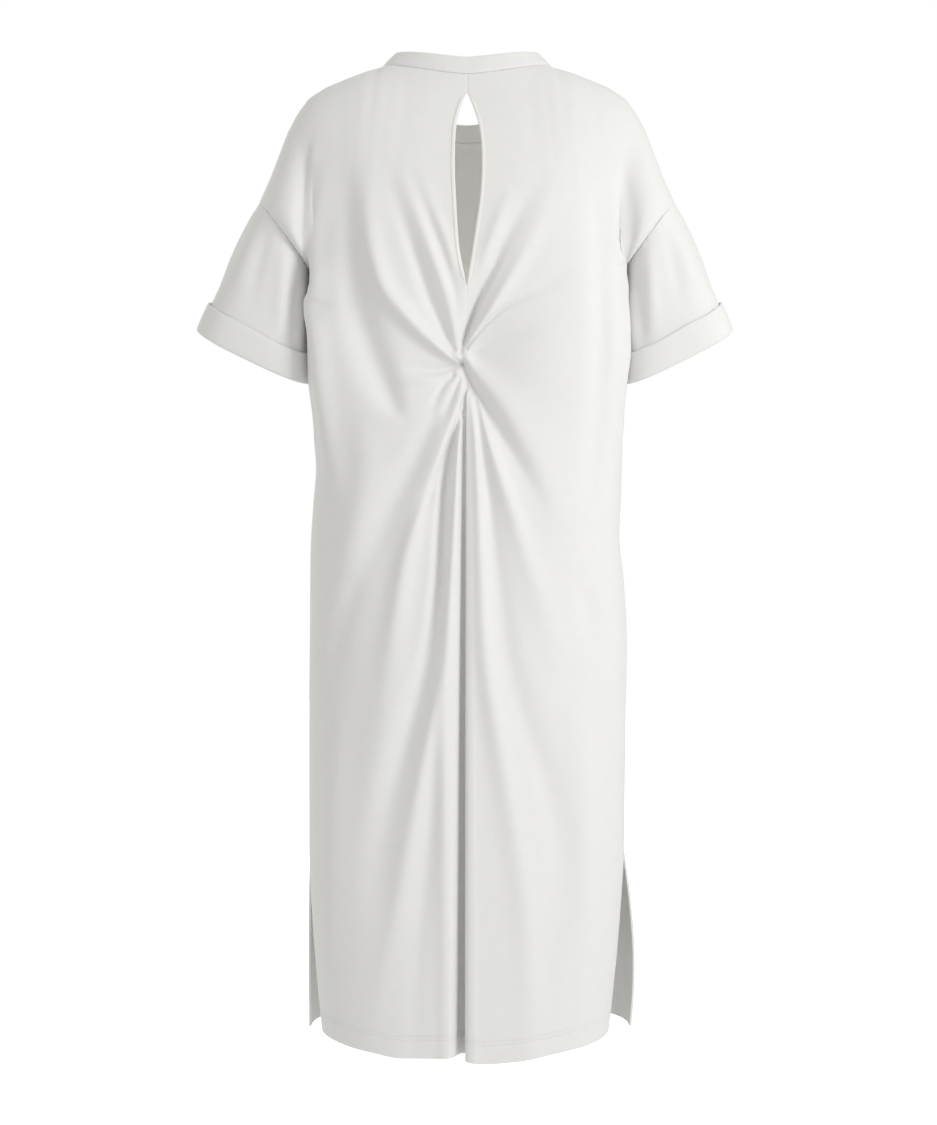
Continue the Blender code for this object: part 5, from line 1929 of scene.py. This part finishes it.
@dataclass
class StitchRow:
    """Row of raised stitches that follows a line on the cloth."""

    name: str
    length: float = 2.6
    gap: float = 0.7
    radius: float = 0.28
    sides: int = 6

    def stitches(self, line: Array, out: Array) -> tuple[Array, Array]:
        """Points and faces of the stitches.

        Args:
            line: points of the line on the cloth.
            out: outward directions there.

        Returns:
            Points in millimetres and triangles.
        """
        way = travel(line[None], 1)[0]
        pitch = self.length + self.gap
        count = int(way[-1] // pitch)
        starts = np.arange(count) * pitch + (way[-1] - count * pitch) / 2
        profile = np.array([
            (0.0, 0.15, -0.2), (0.12, 0.8, 0.2), (0.5, 1.0, 0.55), (0.88, 0.8, 0.2), (1.0, 0.15, -0.2)])
        turn = np.linspace(0.0, 2 * np.pi, self.sides, endpoint=False)
        at = starts[:, None] + profile[None, :, 0] * self.length
        centre = np.stack([np.interp(at, way, line[:, axis]) for axis in range(3)], axis=-1)
        up = unit(np.stack([np.interp(at, way, out[:, axis]) for axis in range(3)], axis=-1))
        ahead = unit(np.gradient(centre, axis=1))
        across = unit(np.cross(up, ahead))
        size = profile[None, :, 1] * self.radius
        centre = centre + up * (profile[None, :, 2] * self.radius)[..., None]
        ring = (centre[:, :, None, :]
                + across[:, :, None, :] * (np.cos(turn) * size[..., None])[..., None]
                + up[:, :, None, :] * (np.sin(turn) * size[..., None])[..., None])
        points = ring.reshape(-1, 3)
        rows, sides = len(profile), self.sides
        faces, _corners = ring_faces(rows, sides, False)
        triangles = np.concatenate([faces[:, [0, 1, 2]], faces[:, [0, 2, 3]]])
        fan = np.stack([np.zeros(sides - 2, int), np.arange(2, sides), np.arange(1, sides - 1)], axis=1)
        last = (rows - 1) * sides
        fan_last = fan[:, ::-1] + last
        single = np.concatenate([triangles, fan, fan_last])
        offsets = np.arange(count)[:, None, None] * rows * sides
        return points, (single[None] + offsets).reshape(-1, 3)


@dataclass
class Sewing:
    """All visible rows of stitches, one piece for each panel that carries them."""

    material: bpy.types.Material

    def add(self, name: str, lines: list[tuple[Array, Array]], row: StitchRow) -> bpy.types.Object:
        """Make one piece with several rows of stitches.

        Args:
            name: name of the piece.
            lines: points and outward directions of each row.
            row: form of its stitches.

        Returns:
            The finished piece.
        """
        points, faces, count = [], [], 0
        for line, out in lines:
            row_points, row_faces = row.stitches(line, out)
            points.append(row_points)
            faces.append(row_faces + count)
            count += len(row_points)
        piece = mesh_object(name, np.concatenate(points), np.concatenate(faces), 80.0)
        dress_piece(piece, self.material)
        return piece

    @staticmethod
    def grid_line(points: Array, normals: Array, distance: Array, level: float) -> tuple[Array, Array]:
        """Line at one distance from the hem.

        Args:
            points: grid of outer points.
            normals: outward directions.
            distance: way up from the hem at each point.
            level: way up of the line.

        Returns:
            Points of the line and outward directions.
        """
        columns = points.shape[1]
        line = np.empty((columns, 3))
        out = np.empty((columns, 3))
        for column in range(columns):
            for axis in range(3):
                line[column, axis] = np.interp(level, distance[:, column], points[:, column, axis])
                out[column, axis] = np.interp(level, distance[:, column], normals[:, column, axis])
        return line, unit(out)


@dataclass
class Studio:
    """Pale floor, soft lights, white surroundings and the camera."""

    floor_height: float = -1500.0
    camera_way: tuple[float, float, float] = (-1.8, 2220.0, -622.0)
    lens: float = 56.7
    frame_height: float = 36.0
    ambient: tuple[float, float, float] = (0.675, 0.669, 0.655)
    glow_colour: tuple[float, float, float] = (1.0, 0.975, 0.93)
    glow_way: tuple[float, float, float] = (0.0, -15.0, -620.0)
    glow_width: float = 130.0
    glow_power: float = 0.5

    def build(self) -> None:
        """Set up everything round the dress."""
        self.add_floor()
        self.add_world()
        self.add_light("key_light", (-1750.0, 1650.0, 250.0), 1000.0, 24.5)
        self.add_glow()
        self.add_light("front_light", (1600.0, -1900.0, 300.0), 1300.0, 10.0)
        self.add_camera()

    def add_floor(self) -> None:
        """Lay a large pale floor."""
        size = 9000.0
        corners = np.array(
            [(-size, -size, 0), (size, -size, 0), (size, size, 0), (-size, size, 0)], dtype=float)
        corners[:, 2] = self.floor_height
        floor = mesh_object("floor", corners, np.array([[0, 1, 2, 3]]))
        material = bpy.data.materials.new("floor_pale")
        material.use_nodes = True
        nodes, links = material.node_tree.nodes, material.node_tree.links
        shader = nodes["Principled BSDF"]
        shader.inputs["Roughness"].default_value = 0.9
        shader.inputs["Base Color"].default_value = (0.9, 0.9, 0.9, 1.0)
        shader.inputs["Emission Color"].default_value = (1.0, 1.0, 1.0, 1.0)
        path = nodes.new("ShaderNodeLightPath")
        links.new(path.outputs["Is Camera Ray"], shader.inputs["Emission Strength"])
        floor.data.materials.append(material)

    def add_world(self) -> None:
        """Surround the dress with white that lights it softly."""
        world = bpy.data.worlds.new("white_room")
        bpy.context.scene.world = world
        world.use_nodes = True
        nodes, links = world.node_tree.nodes, world.node_tree.links
        path = nodes.new("ShaderNodeLightPath")
        seen = nodes.new("ShaderNodeMix")
        seen.data_type = "RGBA"
        seen.inputs[6].default_value = (*self.ambient, 1.0)
        seen.inputs[7].default_value = (1.0, 1.0, 1.0, 1.0)
        links.new(path.outputs["Is Camera Ray"], seen.inputs[0])
        links.new(seen.outputs[2], nodes["Background"].inputs["Color"])

    def add_light(self, name: str, place: tuple[float, float, float], size: float, power: float) -> None:
        """Add a square soft light aimed at the dress.

        Args:
            name: name of the light.
            place: where it stands.
            size: length of its sides.
            power: power in watts.
        """
        light = bpy.data.lights.new(name, "AREA")
        light.shape = "SQUARE"
        light.size = size * METRE
        light.energy = power
        lamp = bpy.data.objects.new(name, light)
        lamp.location = Vector(place) * METRE
        aim = Vector((0.0, 0.0, -0.6)) - lamp.location
        lamp.rotation_euler = aim.to_track_quat("-Z", "Y").to_euler()
        bpy.context.scene.collection.objects.link(lamp)

    def add_glow(self) -> None:
        """Light the inside from below, in place of the light that comes through the cloth."""
        light = bpy.data.lights.new("light_through_cloth", "AREA")
        light.shape = "DISK"
        light.size = self.glow_width * METRE
        light.color = self.glow_colour
        light.energy = self.glow_power
        lamp = bpy.data.objects.new("light_through_cloth", light)
        lamp.location = Vector(self.glow_way) * METRE
        lamp.rotation_euler = (np.pi, 0.0, 0.0)
        bpy.context.scene.collection.objects.link(lamp)

    def add_camera(self) -> None:
        """Put the camera behind the dress, level with its middle."""
        data = bpy.data.cameras.new("camera")
        data.sensor_fit = "VERTICAL"
        data.sensor_height = self.frame_height
        data.lens = self.lens
        camera = bpy.data.objects.new("camera", data)
        camera.location = Vector(self.camera_way) * METRE
        camera.rotation_euler = (np.pi / 2, 0.0, np.pi)
        bpy.context.scene.collection.objects.link(camera)
        bpy.context.scene.camera = camera
        bpy.context.scene.view_settings.view_transform = "Standard"


def main() -> None:
    """Build and dress every piece."""
    logging.basicConfig(level=logging.INFO, format="%(message)s")
    groups = {"knit": knit_group(), "pile": pile_group()}
    jersey = JerseyFinish("jersey_white").build(groups)
    band_jersey = JerseyFinish("jersey_band", wales=1150.0, courses=1450.0).build(groups)
    edge_jersey = JerseyFinish(
        "jersey_edge", light=(0.88, 0.878, 0.865), shade=(0.84, 0.835, 0.82)).build(groups)
    thread = ThreadFinish().build(groups)

    form = BodyForm()
    cloth = BodyCloth(form, Keyhole(), BackPleat())
    backs = {side: BackPanel(side, cloth) for side in Side}
    back_pieces = {side: backs[side].build(jersey) for side in Side}
    front = FrontPanel(cloth)
    front_piece = front.build(jersey)
    sleeves = {side: Sleeve(side, form) for side in Side}
    sleeve_pieces = {side: sleeves[side].build(jersey) for side in Side}
    cuff_pieces = {side: Cuff(sleeves[side]).build(band_jersey) for side in Side}
    band = Neckband(backs[Side.LEFT], front).build(band_jersey)
    edges = {side: KeyholeEdge(backs[side]).build(edge_jersey) for side in Side}

    sewing = Sewing(thread)
    hem_stitch = StitchRow("hem_stitch")
    for side in Side:
        panel = backs[side]
        up = travel(panel.outer, 0)
        lines = [sewing.grid_line(panel.outer, panel.normals, up, level) for level in (22.0, 26.5)]
        sewing.add(f"hem_stitches_back_{side.word}", lines, hem_stitch)
    up = travel(front.outer, 0)
    lines = [sewing.grid_line(front.outer, front.normals, up, level) for level in (22.0, 26.5)]
    front_stitches = sewing.add("hem_stitches_front", lines, hem_stitch)

    Studio().build()


if __name__ == "__main__":
    main()
